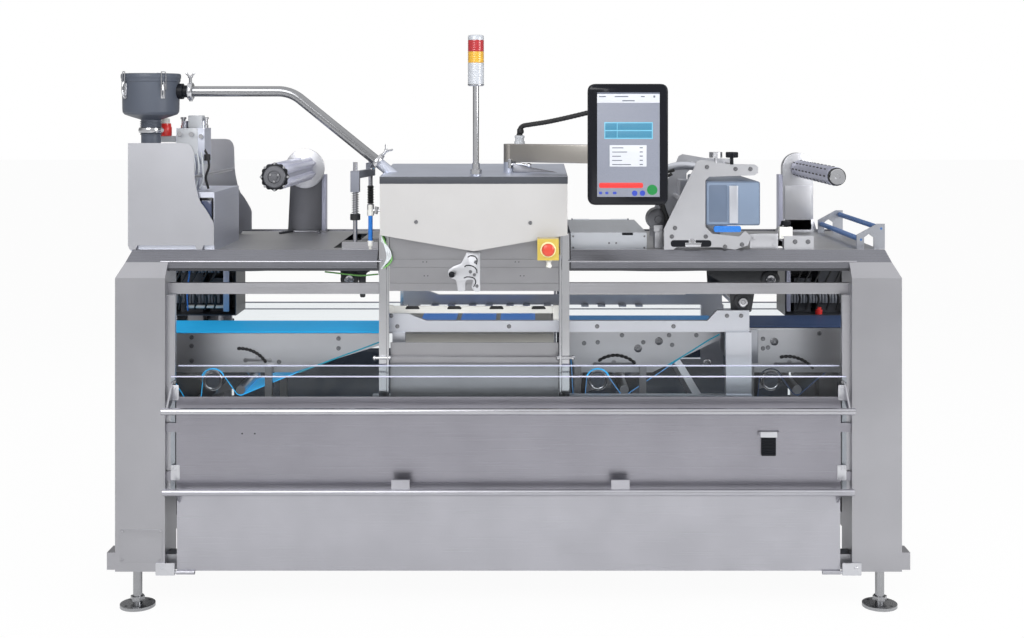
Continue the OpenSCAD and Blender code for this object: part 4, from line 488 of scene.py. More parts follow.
# Milled rails, posts and rams: the cutter's marks as an even grain, half dull
pan_steel = metal("stainless_frame_milled", "#a3a4a8", 0.42, streak=(2, 2, 2))
# Drawn tube: glossy, with die lines along X that stretch its highlights; on the deck's front bend it is a
# painted highlight, brighter than the deck's own steel
tube_steel = metal("stainless_tube_drawn", "#bcbcc2", 0.22, streak=(500, 1, 1), spread=0.04)
# Polished fittings: almost a mirror, with a soft unevenness
bright_steel = metal("stainless_polished", "#cfd0d4", 0.14, streak=(60, 60, 60), spread=0.03, depth=0.002)
# Polished pipe: a smooth mirror, a little darker, with crisp dark edges
pipe_steel = metal("stainless_pipe_polished", "#9fa0a3", 0.22, streak=(200, 200, 200), spread=0.02,
                   depth=0.001)
# Turned and drawn feet: glossy, with fine lines up and down the stem
foot_steel = metal("stainless_turned", "#a9aaad", 0.25, streak=(1, 1, 300))
# Laser cut plate: pale, with a fine grain on its faces and fine lines across its cut edges
plate_steel = metal("stainless_plate_laser_cut", "#d3d4d9", 0.38, streak=(1.6, 300, 1.6))
# Milled aluminium tool: grey satin with cutter lines along X
tool_alu = metal("aluminium_milled", "#a4a4a8", 0.36, streak=(300, 1.5, 1.5))
# Clear anodised aluminium: a milky coat over metal, cool and half dull
anodised = coated("aluminium_anodised_clear", "#b4b6c8", 0.42, metallic=0.55, tone=0.05)
# Satin anodised beams: pale metal whose long streaks run with the beam
beam_alu = metal("aluminium_anodised_satin", "#cfd2da", 0.38, tone=0.06)
# Bronze anodised arm: warm grey metal with a broad soft highlight
arm_alu = metal("aluminium_anodised_bronze", "#a5a19c", 0.34, tone=0.05)
# Drawn spring wire: grey, with a small bright line on each coil
spring_wire = metal("spring_wire_drawn", "#8b8c90", 0.28, streak=(2, 2, 2))
# Cold formed bolts: dark grey steel whose rims catch the light
bolt_steel = metal("stainless_bolt_cold_formed", "#8f9094", 0.28, streak=(2, 2, 2), spread=0.04)
# Electropolished hood: a pale film of light without a clear mirror
hood_steel = coated("stainless_hood_electropolished", "#b9b8b8", 0.42, metallic=0.35, tone=0.03)
# Graphite powder coat: nearly black, with the peel of the powder
dark_paint = coated("powder_coat_graphite", "#2b2d31", 0.45, depth=0.05)
# Blackened beams: a dark oily sheen
frame_paint = coated("steel_blackened", "#303136", 0.4)
# Sprayed cabinet paint: dark grey, semi-gloss
cabinet_paint = coated("cabinet_paint_dark", "#3b3e45", 0.4)
# Moulded polypropylene: slate blue with a leathery grain
pot_plastic = coated("polypropylene_slate", "#4a505c", 0.42, grain=2.2, depth=0.06)
# Moulded ABS: black and dull, which keeps reflections out of it; in holes, a slot, a notch and grooves the
# same black is painted shade
black_plastic_and_shade = coated("abs_black_and_painted_shade", "#101218", 0.42, shine=0.2)
# Float glass printed black on its back: smooth, with a sharp reflection
glass_black = coated("cover_glass_black", "#0a0c14", 0.1, clear_coat=0.15, depth=0.001, shine=0.25)
# Blue-grey powder coat under lacquer: even colour with a glossy skin
cassette_paint = coated("powder_coat_blue_grey", "#57657a", 0.36, clear_coat=0.3)
# Moulded polycarbonate box: warm yellow, glossy
stop_yellow = coated("polycarbonate_yellow", "#bfa94a", 0.32, clear_coat=0.4)
# Moulded polyamide button: orange red, glossy
stop_red = coated("polyamide_red", "#c63f2b", 0.35, clear_coat=0.4)
# Clear moulded lamp lenses: deep colour under a wet shine, with a trace of light of their own
lens_red = coated("lens_red", "#a42228", 0.14, clear_coat=0.7, glow=0.06)
lens_yellow = coated("lens_yellow", "#cf9f30", 0.14, clear_coat=0.7, glow=0.06)
# Frosted lens that is off: pale grey under the same shine
lens_clear = coated("lens_pale", "#b6bac1", 0.14, clear_coat=0.7)
# Extruded roller sleeve: plain blue with a fine skin
roller_blue = coated("roller_sleeve_blue", "#3c68a4", 0.38, grain=1.0)
# Laser cut brackets: as the plates, a shade darker and glossier
guide_steel = metal("stainless_bracket_laser_cut", "#b9bcc4", 0.34, streak=(2, 200, 2))
# Belts coated with polyurethane: dull and saturated, with a fine pebbled skin. They give off a little of
# their colour, which stands for the lamps aimed into the machine
belt_bright = coated("belt_polyurethane_bright_blue", "#2fb4f4", 0.5, grain=2.5, shine=0.12, glow=0.42)
belt_pale = coated("belt_polyurethane_mid_blue", "#5a96d0", 0.5, grain=2.5, shine=0.2, glow=0.3)
belt_dark = coated("belt_polyurethane_dark_blue", "#3a4a6a", 0.5, grain=2.5, shine=0.2, glow=0.3)
# Painted shade: a darker copy of the belts for their return runs and inner faces, which no lamp reaches
belt_painted_shade = coated("belt_polyurethane_painted_shade", "#182b3c", 0.5, grain=2.5, shine=0.2)
# Inner faces, mill finished: a dull blue-grey copy of the steel, painted shade for the dark inside of the
# body; the drive rollers' hubs and the exit belt's edge take it too
painted_shade_steel = metal("stainless_inside_painted_shade", "#5d6675", 0.5, streak=(300, 3, 3))
# Brushed upper panel: cool grey satin, a shade darker than the sheets round it
panel_steel = metal("stainless_panel_brushed", "#9a99a1", 0.33)
# Brushed lower flap: a paler satin than the panel above it
flap_steel = metal("stainless_flap_brushed", "#b6b6bd", 0.34)
# Finely ground box: almost white satin, with lines from front to back on its top and ends
box_steel = metal("stainless_box_fine_ground", "#d3d7de", 0.38, streak=(2, 300, 2), tone=0.05)
# Moulded tray inserts: clear blue, with a painted glow that stands for light from above, as on the belts
tray_blue = coated("tray_insert_blue", "#4a86d8", 0.35, glow=0.4)
# Teal belt edge: dull, with a painted glow that stands for the lamps aimed into the machine
belt_teal = coated("belt_polyurethane_teal", "#2f8fa8", 0.5, shine=0.2, glow=0.25)
# Extruded polyurethane hoses: one full blue, one pale and milky, both with a wet line of light
hose_blue = coated("polyurethane_hose_blue", "#1f6fc4", 0.25, clear_coat=0.3)
hose_clear = coated("polyurethane_hose_pale", "#c3c8cc", 0.2, clear_coat=0.4)
# Moulded rubber: dull black; in the rewind barrel's slots the same black is painted shade
rubber_black_and_shade = coated("rubber_black_and_painted_shade", "#1a1b1d", 0.55, grain=1.2)
# Turned acetal fittings: waxy white
fitting_white = coated("acetal_white", "#dcdcd8", 0.4)
# Painted die-cast valve bodies: plain light grey
fitting_grey = coated("valve_body_grey", "#b5b8bd", 0.38)
# Moulded acetal caps: signal red with a slick skin
cap_red = coated("acetal_red", "#d9302c", 0.3, clear_coat=0.3)
# Extruded vinyl on the earth wires: leaf green, half dull
wire_green = coated("pvc_earth_wire_green", "#6ea85a", 0.4)
# Brushed lid: bluish and bright, a dull satin that takes the light from above
lid_steel = metal("stainless_lid_brushed", "#d3d8e6", 0.42)
# Brushed conveyor sides: a paler copy of the brushed sheet, painted light against the shade of the columns
# and deck; satin with streaks along X
side_steel_painted_light = metal("stainless_side_plate_painted_light", "#d2d3d8", 0.36)
# Blasted supply plates: the covers' soft sheen, a shade paler
supply_steel = metal("stainless_supply_plate_blasted", "#bfc0c6", 0.4, streak=(2.5, 2.5, 2.5), cloud=260)
# Hard anodised lower tool: stone grey and dull; its pale tone and its glow are painted light that lifts it
# out of the shade under the transfer beam
lower_tool_painted_light = coated("aluminium_lower_tool_painted_light", "#b4b3ae", 0.45, metallic=0.2, glow=0.12)
# Finely ground supply cabinet: the brightest sheet, ground as the box is
cabinet_steel = metal("stainless_cabinet_fine_ground", "#dde1ee", 0.4, streak=(2, 300, 2), tone=0.05)
# Grey anodised block: half metal, darker than the beams
block_alu = coated("aluminium_anodised_grey", "#80838e", 0.4, metallic=0.4)
# Extruded bars of the mandrel: bright and smooth, with a cool cast
profile_alu = coated("aluminium_profile_bright", "#d9dbee", 0.3, metallic=0.4, tone=0.04)
# Polycarbonate guard sheet: clear, with a thin reflection on both faces
guard_sheet = clear("polycarbonate_clear", "#eef2f4")
# Sawn edges and folds of that sheet: frosted, so they show as pale lines
edge_frosted = coated("polycarbonate_edge_frosted", "#c4c6dc", 0.3, clear_coat=0.5)
# Dull dark grey: rubber seals in the rear channels, and painted shade in the gap along the lid's edges
edge_dark = coated("epdm_seal_and_gap_shade_dark", "#3a3d44", 0.42, grain=1.0)
# Blasted steel in a darker, even grey without streaks: painted shade on the unwind column, and also the
# grey of the unwind cap and the ribbon drum
dark_steel_and_shade = metal("steel_blasted_dark_and_painted_shade", "#75767b", 0.4, streak=(2.5, 2.5, 2.5), cloud=120)
# Pale ring under the stop button: cream, half dull
stop_pale = coated("polycarbonate_pale_yellow", "#e9e2ae", 0.4)
# Display that is off: dark blue under glass
screen_dark = coated("display_off", "#39415a", 0.15, clear_coat=0.6, depth=0.001)
# The cassette's face: the same powder coat in a lighter grey
cassette_blue = coated("powder_coat_light_blue_grey", "#6f7f95", 0.4, clear_coat=0.3)
# Moulded terminal blocks: mid grey, dull
cabinet_grey = coated("terminal_block_grey", "#7d828c", 0.45)

# Where the exit belt starts along X, in metres
EXIT_STARTS = 0.766

# The CAD nodes of each finish
DRESSED = {
    foot_steel: ["levelling_feet"],
    pan_steel: ["base_rails", "cross_rails", "frame_posts", "lift_cylinders"],
    cover_steel: ["column_covers", "end_panels"],
    supply_steel: ["supply_side_plates"],
    deck_steel: ["deck_plates"],
    sheet_steel: ["rear_panel", "guard_rails"],
    cabinet_steel: ["supply_cabinet"],
    block_alu: ["dancer_block"],
    lid_steel: ["hood_lid"],
    side_steel_painted_light: ["conveyor_plates"],
    panel_steel: ["front_panel"],
    flap_steel: ["lower_flap"],
    box_steel: ["junction_box", "junction_lid"],
    frame_paint: ["long_beams", "cross_beams"],
    bright_steel: ["station_uprights"],
    pipe_steel: ["vacuum_pipe"],
    hood_steel: ["hood_shell"],
    tool_alu: ["upper_tool", "station_covers"],
    lower_tool_painted_light: ["lower_tool"],
    beam_alu: ["gripper_beam_front", "gripper_beam_rear", "gripper_carriage"],
    plate_steel: ["printer_plates", "tool_lock_lever"],
    belt_bright: ["conveyor_belts"],
    tube_steel: ["infeed_drive_roller", "outfeed_drive_roller", "exit_drive_roller", "film_roller_left",
                 "film_roller_right", "film_roller_low", "dancer_frame", "signal_tower"],
    dark_paint: ["film_brackets"],
    cabinet_paint: ["control_cabinets"],
    pot_plastic: ["filter_pot", "filter_lid"],
    anodised: ["unwind_mandrel", "rewind_mandrel"],
    spring_wire: ["dancer_spring"],
    arm_alu: ["hmi_arm"],
    black_plastic_and_shade: ["hmi_panel", "panel_latch"],
    cassette_paint: ["printer_cassette"],
    guide_steel: ["guide_roller_plates"],
    roller_blue: ["guide_roller_outer", "guide_roller_inner"],
    stop_yellow: ["stop_box"],
    stop_red: ["stop_button"],
    guard_sheet: ["front_guard", "rear_guard"],
    bolt_steel: ["fasteners"],
}


def dress_nodes():
    """Gives every CAD node its material, and some of its faces another one."""
    for finish, names in DRESSED.items():
        for name in names:
            NODES[name].data.materials.clear()
            NODES[name].data.materials.append(finish)
    # The belts' return runs and inner faces get a darker copy, painted shade
    finish_faces("conveyor_belts", [belt_pale, belt_dark, belt_painted_shade], belt_finish)
    # Painted light: the deck's faces that look straight up get the paler copy
    finish_faces("deck_plates", [deck_top_painted_light], top_face)
    # Painted shade: the inner faces of the rear and end panels get the dark blue-grey copy
    for name in ("rear_panel", "end_panels"):
        finish_faces(name, [painted_shade_steel], inner_face)


def belt_finish(at, out):
    """Which finish each face of the belts gets: 0, 1 or 2 on the top run and the edges of the infeed,
    outfeed and exit belt, and 3, the darker copy that paints shade on the return runs, elsewhere."""
    belt = 1 * (at[:, 0] > 0) + (at[:, 0] > EXIT_STARTS)
    lit = (out[:, 2] > 0.9) | (np.abs(out[:, 1]) > 0.9)
    return np.where(lit, belt, 3)


def top_face(at, out):
    """1 on faces that look straight up, which take the paler deck copy as painted light from above, and 0
    elsewhere.
    """
    return 1 * (out[:, 2] > 0.99)


def inner_face(at, out):
    """1 on faces that look towards the machine's upright middle axis, which take the dark steel as painted
    shade, and 0 elsewhere.
    """
    return 1 * (np.sum(at[:, :2] * out[:, :2], 1) < -0.01)


def finish_faces(name, finishes, choose):
    """Gives some faces of a CAD node another finish, chosen by each face's middle and outward direction."""
    data = NODES[name].data
    for finish in finishes:
        data.materials.append(finish)
    at, out = np.empty(len(data.polygons) * 3), np.empty(len(data.polygons) * 3)
    data.polygons.foreach_get("center", at)
    data.polygons.foreach_get("normal", out)
    chosen = choose(at.reshape(-1, 3), out.reshape(-1, 3))
    data.polygons.foreach_set("material_index", chosen.astype(np.int32))


# Operator panel


def operator_panel():
    """A black case with round corners and a pivot knuckle, a glass front, and a lit screen with plain
    blocks, bars and buttons."""
    lo, hi = box_of("hmi_panel")
    x0, x1, z0, z1 = lo[0], hi[0], lo[2], hi[2]
    front, back = -535, -495
    pivot_x, pivot_y, pivot_z, pivot_r = 368.4, -460.7, 1541.5, 22
    case = plate(eased(corners_of(x0, x1, z0, z1), 26, 8), front, back, rim=5)
    web = slab((pivot_x - pivot_r, back - 2, pivot_z), (pivot_x + pivot_r, pivot_y, pivot_z + 40))
    knuckle = joined(turned((pivot_x, pivot_y, pivot_z), UP, [(0, pivot_r), (40, pivot_r)]), web)
    shell = piece("panel_case", joined(case, knuckle), black_plastic_and_shade, "operator_panel")
    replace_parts(shell, "hmi_panel")
    glass = plate(eased(corners_of(x0 + 4, x1 - 4, z0 + 4, z1 - 4), 23, 8), front - 1.2, front + 1, rim=0.8)
    piece("panel_glass", glass, glass_black, "operator_panel")
    screen_x, screen_z, screen_w, screen_h = 290, 1374, 204, 341
    under, step = front - 1.0, 0.25

    def tile(a0, b0, a1, b1, layer=1, corner=0.0):
        """A flat tile on the screen, in shares of its width and height; each layer lies a step higher."""
        return slab((screen_x + a0 * screen_w, front - 1.2 - step * layer, screen_z + b0 * screen_h),
                    (screen_x + a1 * screen_w, under, screen_z + b1 * screen_h), corner, 0.1)

    def button(a, b, radius):
        """A round button on the screen, two layers high."""
        return turned((screen_x + a * screen_w, under, screen_z + b * screen_h), TO_FRONT,
                      [(0, radius), (0.2 + 2 * step, radius)], 32)

    bars = [tile(0.24, z, 0.24 + w, z + 0.008, 3)
            for z, w in ((0.465, 0.18), (0.425, 0.24), (0.385, 0.14), (0.345, 0.16), (0.305, 0.3))]
    dashes = [tile(0.68, z, 0.73, z + 0.01, 3) for z in (0.305, 0.345, 0.385, 0.425, 0.465)]
    head_bars = [tile(0.03, 0.955, 0.14, 0.965, 3), tile(0.28, 0.955, 0.5, 0.965, 3),
                 tile(0.7, 0.955, 0.76, 0.965, 3), tile(0.4, 0.915, 0.6, 0.925, 3),
                 tile(0.9, 0.95, 0.93, 0.97, 3), tile(0, 0.985, 1, 1, 2)]
    screens = {
        "screen_face": ("#787c88", [tile(0, 0, 1, 1)]),
        "screen_head": ("#bcbfc6", [tile(0, 0.9, 1, 0.985, 2), tile(0.2, 0.29, 0.79, 0.495, 2, 2)]),
        "screen_blocks": ("#3b7590", [tile(a0, b0, a1, b0 + 0.065, 3) for b0 in (0.64, 0.565)
                                      for a0, a1 in ((0.13, 0.315), (0.325, 0.875))]),
        "screen_frame": ("#68a8c2", [tile(0.115, 0.555, 0.89, 0.715, 2)]),
        "screen_bar": ("#c8302f", [tile(0.03, 0.085, 0.735, 0.135, 2, 7)]),
        "screen_green": ("#157238", [button(0.88, 0.067, 17)]),
        "screen_blue": ("#2b3f9e", [button(0.6, 0.035, 9), button(0.725, 0.035, 9)]
                        + [tile(a0, 0.025, a1, 0.05, 2, 3)
                           for a0, a1 in ((0.03, 0.08), (0.13, 0.18), (0.25, 0.31))]),
        "screen_lines": ("#555a66", bars + dashes + head_bars),
    }
    # Backlit plastic: flat colours with a faint light of their own
    for name, (colour, parts) in screens.items():
        lit = coated("display_" + name, colour, 0.3, depth=0.001, tone=0.02, glow=0.15)
        piece(name, joined(*parts), lit, "operator_panel")


# Signal tower


def signal_tower():
    """A drawn pole on a turned foot, with three ribbed lenses and a cap."""
    x, y, foot, top = -109, -442, 1444, 1739
    pole = turned((x, y, foot), UP, [(0, 20), (14, 20), (17, 13), (36, 13), (37, 10.2), (298, 10.2)])
    seat = turned((x, y, top - 2), UP, [(0, 24), (3, 27.5), (6, 27.5)])
    made = piece("tower_pole", joined(pole, seat), bright_steel)
    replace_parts(made, "signal_tower")

    def lens(z, height, ribs):
        """A lens whose radius swells between its grooves, as 26.2 + 0.7*|sin| along its height."""
        s = np.linspace(0, 1, ribs * 4 + 1)
        wave = 26.2 + 0.7 * np.abs(np.sin(s * np.pi * ribs))
        return turned((x, y, z), UP, np.stack([s * height, wave], 1), 40)

    piece("lens_clear", lens(top + 4, 71, 9), lens_clear)
    piece("lens_yellow", lens(top + 75.5, 37, 5), lens_yellow)
    piece("lens_red", lens(top + 113, 37.5, 5), lens_red)
    cap = turned((x, y, top + 151), UP, [(0, 26.5), (12, 26.5), (16, 24), (17, 18)])
    piece("lens_cap", cap, lens_clear)


# Clear guards with their steel tubes


def clear_guard(name, side, lift):
    """A clear sheet with a bent lip and frosted edges, its arms and its handle tube, on the operator's side
    or mirrored behind and lifted."""
    y, out, handle = -462, -540.4, 674

    def placed(shape):
        """The shape on its own side of the machine, at its own height."""
        points, corners, counts = shape
        return points * [1, side, 1] + [0, 0, lift], corners, counts

    sheet = slab((-1121, y, 394), (1121, y + 3, 774), 6, 0.6)
    lip = plate([(y, 773), (y + 3, 771), (-432, 801.8), (-432, 806)], -1103, 1103, "yz", 0.4)
    piece(name + "_sheet", placed(joined(sheet, lip)), guard_sheet, name)
    edge = joined(slab((-1103, -432.7, 801.4), (1103, -431.2, 806.2), 0.4, 0.3),
                  slab((-1120, -462.4, 771), (1120, -461.4, 775.5), 0.4, 0.3))
    piece(name + "_edge", placed(edge), edge_frosted, name)
    handle_tube = turned((-1132, out, handle), ALONG,
                         [(0, 8), (0, 10.5), (1, 11.5), (2263, 11.5), (2264, 10.5), (2264, 8)], 24)
    arm = eased([(y, 760), (y, 697), (out + 8, handle - 12), (out - 6, handle), (out + 8, handle + 12)], 8)
    arms = mirrored(plate(arm, 1112, 1118, "yz"))
    steel = piece(name + "_tube", placed(joined(handle_tube, arms)), tube_steel, name)
    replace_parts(steel, name)
    spots = [(x, y, z) for x in (-1108, 1108) for z in (700, 730, 755)]
    heads = repeated(socket_head(TO_FRONT, 6, 4), spots)
    piece(name + "_bolts", placed(heads), bolt_steel, name)


# Bolts, hatch and hinges

# Each conveyor's side plate: its left, right and top edge, and its bolts in shares of its length and height
CONVEYOR_SIDES = (
    (-1290, -446, 865, ((0.193, 0.9), (0.193, 0.68), (0.193, 0.3), (0.56, 0.27), (0.81, 0.87),
                        (0.81, 0.62))),
    (210, 748, 884, ((0.19, 0.68), (0.35, 0.84), (0.49, 0.68), (0.84, 0.84), (0.1, 0.66), (0.68, 0.62),
                     (0.66, 0.84))),
    (784, 1290, 884, ((0.12, 0.86), (0.12, 0.56), (0.26, 0.56), (0.62, 0.88))),
)
# Lower edge and front face of all three side plates
SIDE_FOOT = 727
SIDE_FACE = -143


def fasteners():
    """Bolt heads on the conveyors' side plates, the hatch in the left column, the flap's hinge plates, and
    the brackets and marks of the upper panel; the marks are two holes drawn as black discs of painted
    shade."""
    heads = []
    for left, right, top, shares in CONVEYOR_SIDES:
        s = np.array(shares)
        spots = np.stack([left + s[:, 0] * (right - left), np.full(len(s), SIDE_FACE),
                          SIDE_FOOT + s[:, 1] * (top - SIDE_FOOT)], 1)
        heads.append(repeated(hex_head(TO_FRONT, 6.4, 4.8), spots))
    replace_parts(piece("side_plate_bolts", joined(*heads), bolt_steel), "fasteners")
    hatch_screws = [(x, -481.5, z) for x in (-1277, -1152) for z in (170, 264)]
    hatch = joined(slab((-1285, -481.5, 162), (-1144, -480, 272), 5, 0.5),
                   repeated(socket_head(TO_FRONT, 4, 2.5), hatch_screws))
    piece("column_hatch", hatch, cover_steel)
    hinge = joined(slab((1102, -486, 121), (1165, -480, 162), 3, 1),
                   slab((1102, -481, 121), (1108, -467, 135), 2, 0.5),
                   turned((1040, -474, 128), ALONG, [(0, 4), (68, 4)], 16),
                   repeated(hex_head(TO_FRONT, 5.5, 4), [(1148, -486, 146)]))
    piece("flap_hinges", mirrored(mirrored(hinge), 1), plate_steel)
    bracket = joined(slab((1091, -472.5, 697), (1118, -469.6, 747), 4, 0.5),
                     slab((1088, -472.5, 432), (1118, -469.6, 482), 4, 0.5),
                     repeated(socket_head(TO_FRONT, 5, 3.5), [(1106, -472.5, z) for z in (735, 470)]))
    piece("panel_brackets", mirrored(bracket), plate_steel)
    # Painted shade: the panel's two holes are thin black discs
    hole = turned((0, 0, 0), TO_FRONT, [(0, 2.6), (0.4, 2.6)], 16)
    piece("panel_holes", repeated(hole, [(-882, -470, 586), (-840, -470, 586)]), black_plastic_and_shade)


def panel_latch():
    """A pressed steel cap over a black thumb plate with eight ribs."""
    rib = slab((839, -482.3, 0), (881, -478, 4.5), 1, 0.6)
    ribs = repeated(rib, [(0, 0, 517 + 7.6 * k) for k in range(8)])
    grip = joined(slab((836, -479, 514), (884, -471, 577), 3), ribs)
    made = piece("latch_grip", grip, black_plastic_and_shade, "panel_latch")
    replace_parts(made, "panel_latch")
    side = [(-482.5, 576), (-473.4, 576), (-473.4, 590), (-476.5, 594), (-480, 594), (-482.5, 591)]
    piece("latch_cap", plate(side, 832, 888, "yz", 1), plate_steel, "panel_latch")


# Hood and sealing station


def hood_details():
    """The dark edge strip of the lid, painted shade in the gap between lid and hood, two screws, the wedge
    and the clamp lever at the arm's foot.
    """
    x0, x1, half, low, ridge = -426.6, 195.6, 471, 1413, 1460.5
    outline = [(-half, 1413.5), (half, 1413.5), (half, 1436.5), (0, ridge), (-half, 1436.5)]
    # Painted shade: a dark strip where the lid meets the hood
    strip = joined(slab((x0, -471.2, low), (x1, -469.4, 1436.6), 0, 0.4),
                   slab((x0, 469.4, low), (x1, 471.2, 1436.6), 0, 0.4),
                   plate(outline, -427.2, -425.8, "yz", 0.3), plate(outline, 194.8, 196.2, "yz", 0.3))
    piece("lid_edge_strip", strip, edge_dark)
    screws = repeated(socket_head(TO_FRONT, 6.5, 3.5), [(-306, -470, 1287), (72, -470, 1284)])
    piece("hood_screws", screws, bolt_steel)
    wedge = plate([(14, 1446), (188, 1440), (60, 1463), (14, 1478)], -330, -300, "xz", 1)
    lever = joined(tube(flowing([(3, -322, 1470), (30, -326, 1474), (62, -330, 1469)]), 4.5),
                   turned((62, -330, 1469), (1, 0, -0.1), [(0, 6), (3, 7.5), (11, 7.5), (14, 5)], 20),
                   turned((3, -320, 1458), UP, [(0, 8), (30, 8), (32, 6)], 20))
    piece("arm_foot_wedge", wedge, deck_steel)
    piece("arm_clamp_lever", lever, bright_steel)


# The lock plate's lower left corner, its size, and its outline in shares of that size
LOCK_AT = (-204.6, 1051.6)
LOCK_SIZE = (110, 133)
LOCK_OUTLINE = ((0.32, 0), (0.55, 0.02), (0.55, 0.25), (0.6, 0.3), (0.8, 0.3), (0.72, 0.12), (0.82, 0),
                (1, 0), (1, 1), (0.6, 1), (0.42, 0.7), (0.16, 0.62), (0.02, 0.52), (0.02, 0.38),
                (0.16, 0.32), (0.26, 0.3))
# Front face of that plate
LOCK_FACE = -436.5


def on_lock(a, b, y=LOCK_FACE):
    """A point on the lock plate, by its shares of the plate's width and height."""
    return LOCK_AT[0] + a * LOCK_SIZE[0], y, LOCK_AT[1] + b * LOCK_SIZE[1]


def tool_lock():
    """The cam plate that locks the tool: an eased outline with three hooked grooves, drawn as black tubes
    of painted shade, bolts and a black knob."""
    outline = np.array(LOCK_OUTLINE) * LOCK_SIZE + LOCK_AT
    cam = plate(eased(outline, 7), LOCK_FACE, LOCK_FACE + 6)
    made = piece("lock_plate", cam, plate_steel, "tool_lock")
    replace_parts(made, "tool_lock_lever")
    hooks = (((0.62, 0.86), (0.7, 0.9), (0.84, 0.88), (0.9, 0.8), (0.88, 0.68)),
             ((0.52, 0.62), (0.6, 0.66), (0.76, 0.64), (0.88, 0.56), (0.9, 0.46)),
             ((0.5, 0.34), (0.62, 0.37), (0.8, 0.34), (0.86, 0.24), (0.8, 0.12)))
    # Painted shade: the grooves are thin black tubes on the plate's face
    grooves = [tube(flowing([on_lock(a, b, LOCK_FACE + 0.3) for a, b in hook]), 2.0, 8) for hook in hooks]
    piece("lock_grooves", joined(*grooves), black_plastic_and_shade, "tool_lock")
    spots = [on_lock(a, b) for a, b in ((0.86, 0.74), (0.82, 0.42), (0.9, 0.14), (0.7, 0.5))]
    bolts = repeated(hex_head(TO_FRONT, 4.5, 3.5), spots)
    piece("lock_bolts", bolts, bolt_steel, "tool_lock")
    profile = [(0, 4), (7, 4), (8, 8), (11, 10.5), (16, 10.5), (20, 8.5), (22, 4)]
    knob = turned(on_lock(0.14, 0.44), TO_FRONT, profile, 24)
    piece("lock_knob", knob, black_plastic_and_shade, "tool_lock")


def station_details():
    """Small holes in the grooved plates, as black discs of painted shade, the film bar with its tabs above
    the transfer beam, clamps on the guide rods, and bolts on both transfer beams."""
    # Painted shade: each hole is a thin black disc on the plate
    dots = [(x + d, -430, z) for x, z in ((-276, 1103.5), (45, 1103.5), (-280, 1150), (28, 1150))
            for d in (-6, 6)]
    holes = repeated(turned((0, 0, 0), TO_FRONT, [(0, 1.8), (0.4, 1.8)], 12), dots)
    piece("cover_holes", mirrored(holes, 1), black_plastic_and_shade)
    bar = joined(slab((-398, -318, 962), (150, -312, 987), 2),
                 slab((-415, -322, 940), (-396, -311, 990), 3),
                 slab((150, -322, 940), (172, -311, 990), 3))
    piece("film_bar_front", bar, fitting_white, "front_gripper")
    tab = plate(eased([(-26, 0), (26, 0), (20, 11), (-20, 11)], 5), -319.5, -317.5)
    tabs = repeated(tab, [(x, 0, 976) for x in (-330, -187, -43, 101)])
    piece("film_bar_tabs", tabs, rubber_black_and_shade, "front_gripper")
    clamp = [(0, 5), (3, 8), (9, 8), (10, 5), (52, 5), (53, 8), (59, 8), (62, 5)]
    clamps = [turned((x, -427, 829), ALONG, clamp, 20) for x in (-454, 158)]
    piece("guide_rod_clamps", joined(*clamps), bright_steel)
    rows = ((-401, 957), (-380, 921), (742, 957), (790, 957), (300, 921), (560, 921), (0, 921))
    for name, y in (("front_gripper", -340), ("rear_gripper", 340)):
        bolts = repeated(hex_head((0, np.sign(y), 0), 6, 4.5), [(x, y, z) for x, z in rows])
        piece(name + "_bolts", bolts, bolt_steel, name)


def trays():
    """Three shallow blue trays in the tool's pockets: ring after ring of a rounded rectangle, from the rim
    inwards and down, with an oval raised floor. Each ring is (a cos t, b sin t) over the eighth root of
    cos^8 t + sin^8 t, and the underside repeats the wall a little lower."""
    t = np.linspace(0, 2 * np.pi, 48, endpoint=False)
    square = 1 / (np.abs(np.cos(t)) ** 8 + np.abs(np.sin(t)) ** 8) ** (1 / 8)
    steps = ((62, 200, 892.4), (63.4, 202, 893.4), (63.4, 202, 895), (57, 195, 895), (54, 190, 880),
             (50, 184, 852), (40, 170, 850), (30, 120, 851), (26, 110, 856), (10, 80, 857))
    for number, middle in enumerate((-259.5, -115.5, 28.5)):
        rings = np.stack([np.stack([middle + a * np.cos(t) * square, b * np.sin(t) * square,
                                    np.full(48, z)], 1) for a, b, z in steps])
        under = rings[1:6][::-1] + [0, 0, -1.2]
        shell = grid(np.concatenate([rings, under[:1] + [0, 0, -6]]))
        piece(f"tray_{number}", shell, tray_blue, "lift_table")


def stop_button():
    """A mushroom head on its collar, and the cable gland under its box."""
    x, y, z = 130, -512, 1201
    profile = [(0, 9.9), (23.5, 9.9), (23.9, 17), (25, 20.5), (31, 21), (35, 19.5), (38, 15), (39, 8)]
    head = turned((x, y, z), TO_FRONT, profile, 40)
    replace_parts(piece("stop_mushroom", head, stop_red, "stop_head"), "stop_button")
    collar = turned((x, -529.8, z), TO_FRONT, [(0, 25.5), (1.2, 25.5), (1.8, 24.8)], 40)
    piece("stop_collar", collar, stop_pale)
    profile = [(0, 11), (6, 11), (7, 8.5), (18, 8.5), (19, 10), (25, 10), (28, 6)]
    piece("stop_gland", turned((133, -502, 1166.3), DOWN, profile, 20), fitting_white)


# Operator arm

# The arm's pivot, and how far it is swung from X
ARM_AT = (3, -298)
ARM_TURN = math.radians(-24)


def on_arm(points):
    """Points in the arm's own frame, along it, across it and up, turned about its pivot."""
    p = np.asarray(points, float)
    c, s = math.cos(ARM_TURN), math.sin(ARM_TURN)
    x = ARM_AT[0] + p[:, 0] * c - p[:, 1] * s
    y = ARM_AT[1] + p[:, 0] * s + p[:, 1] * c
    return np.stack([x, y, p[:, 2]], 1)


def arm_shape(*shapes):
    """Shapes made in the arm's own frame, as one shape in the machine's frame."""
    points, corners, counts = joined(*shapes)
    return on_arm(points), corners, counts


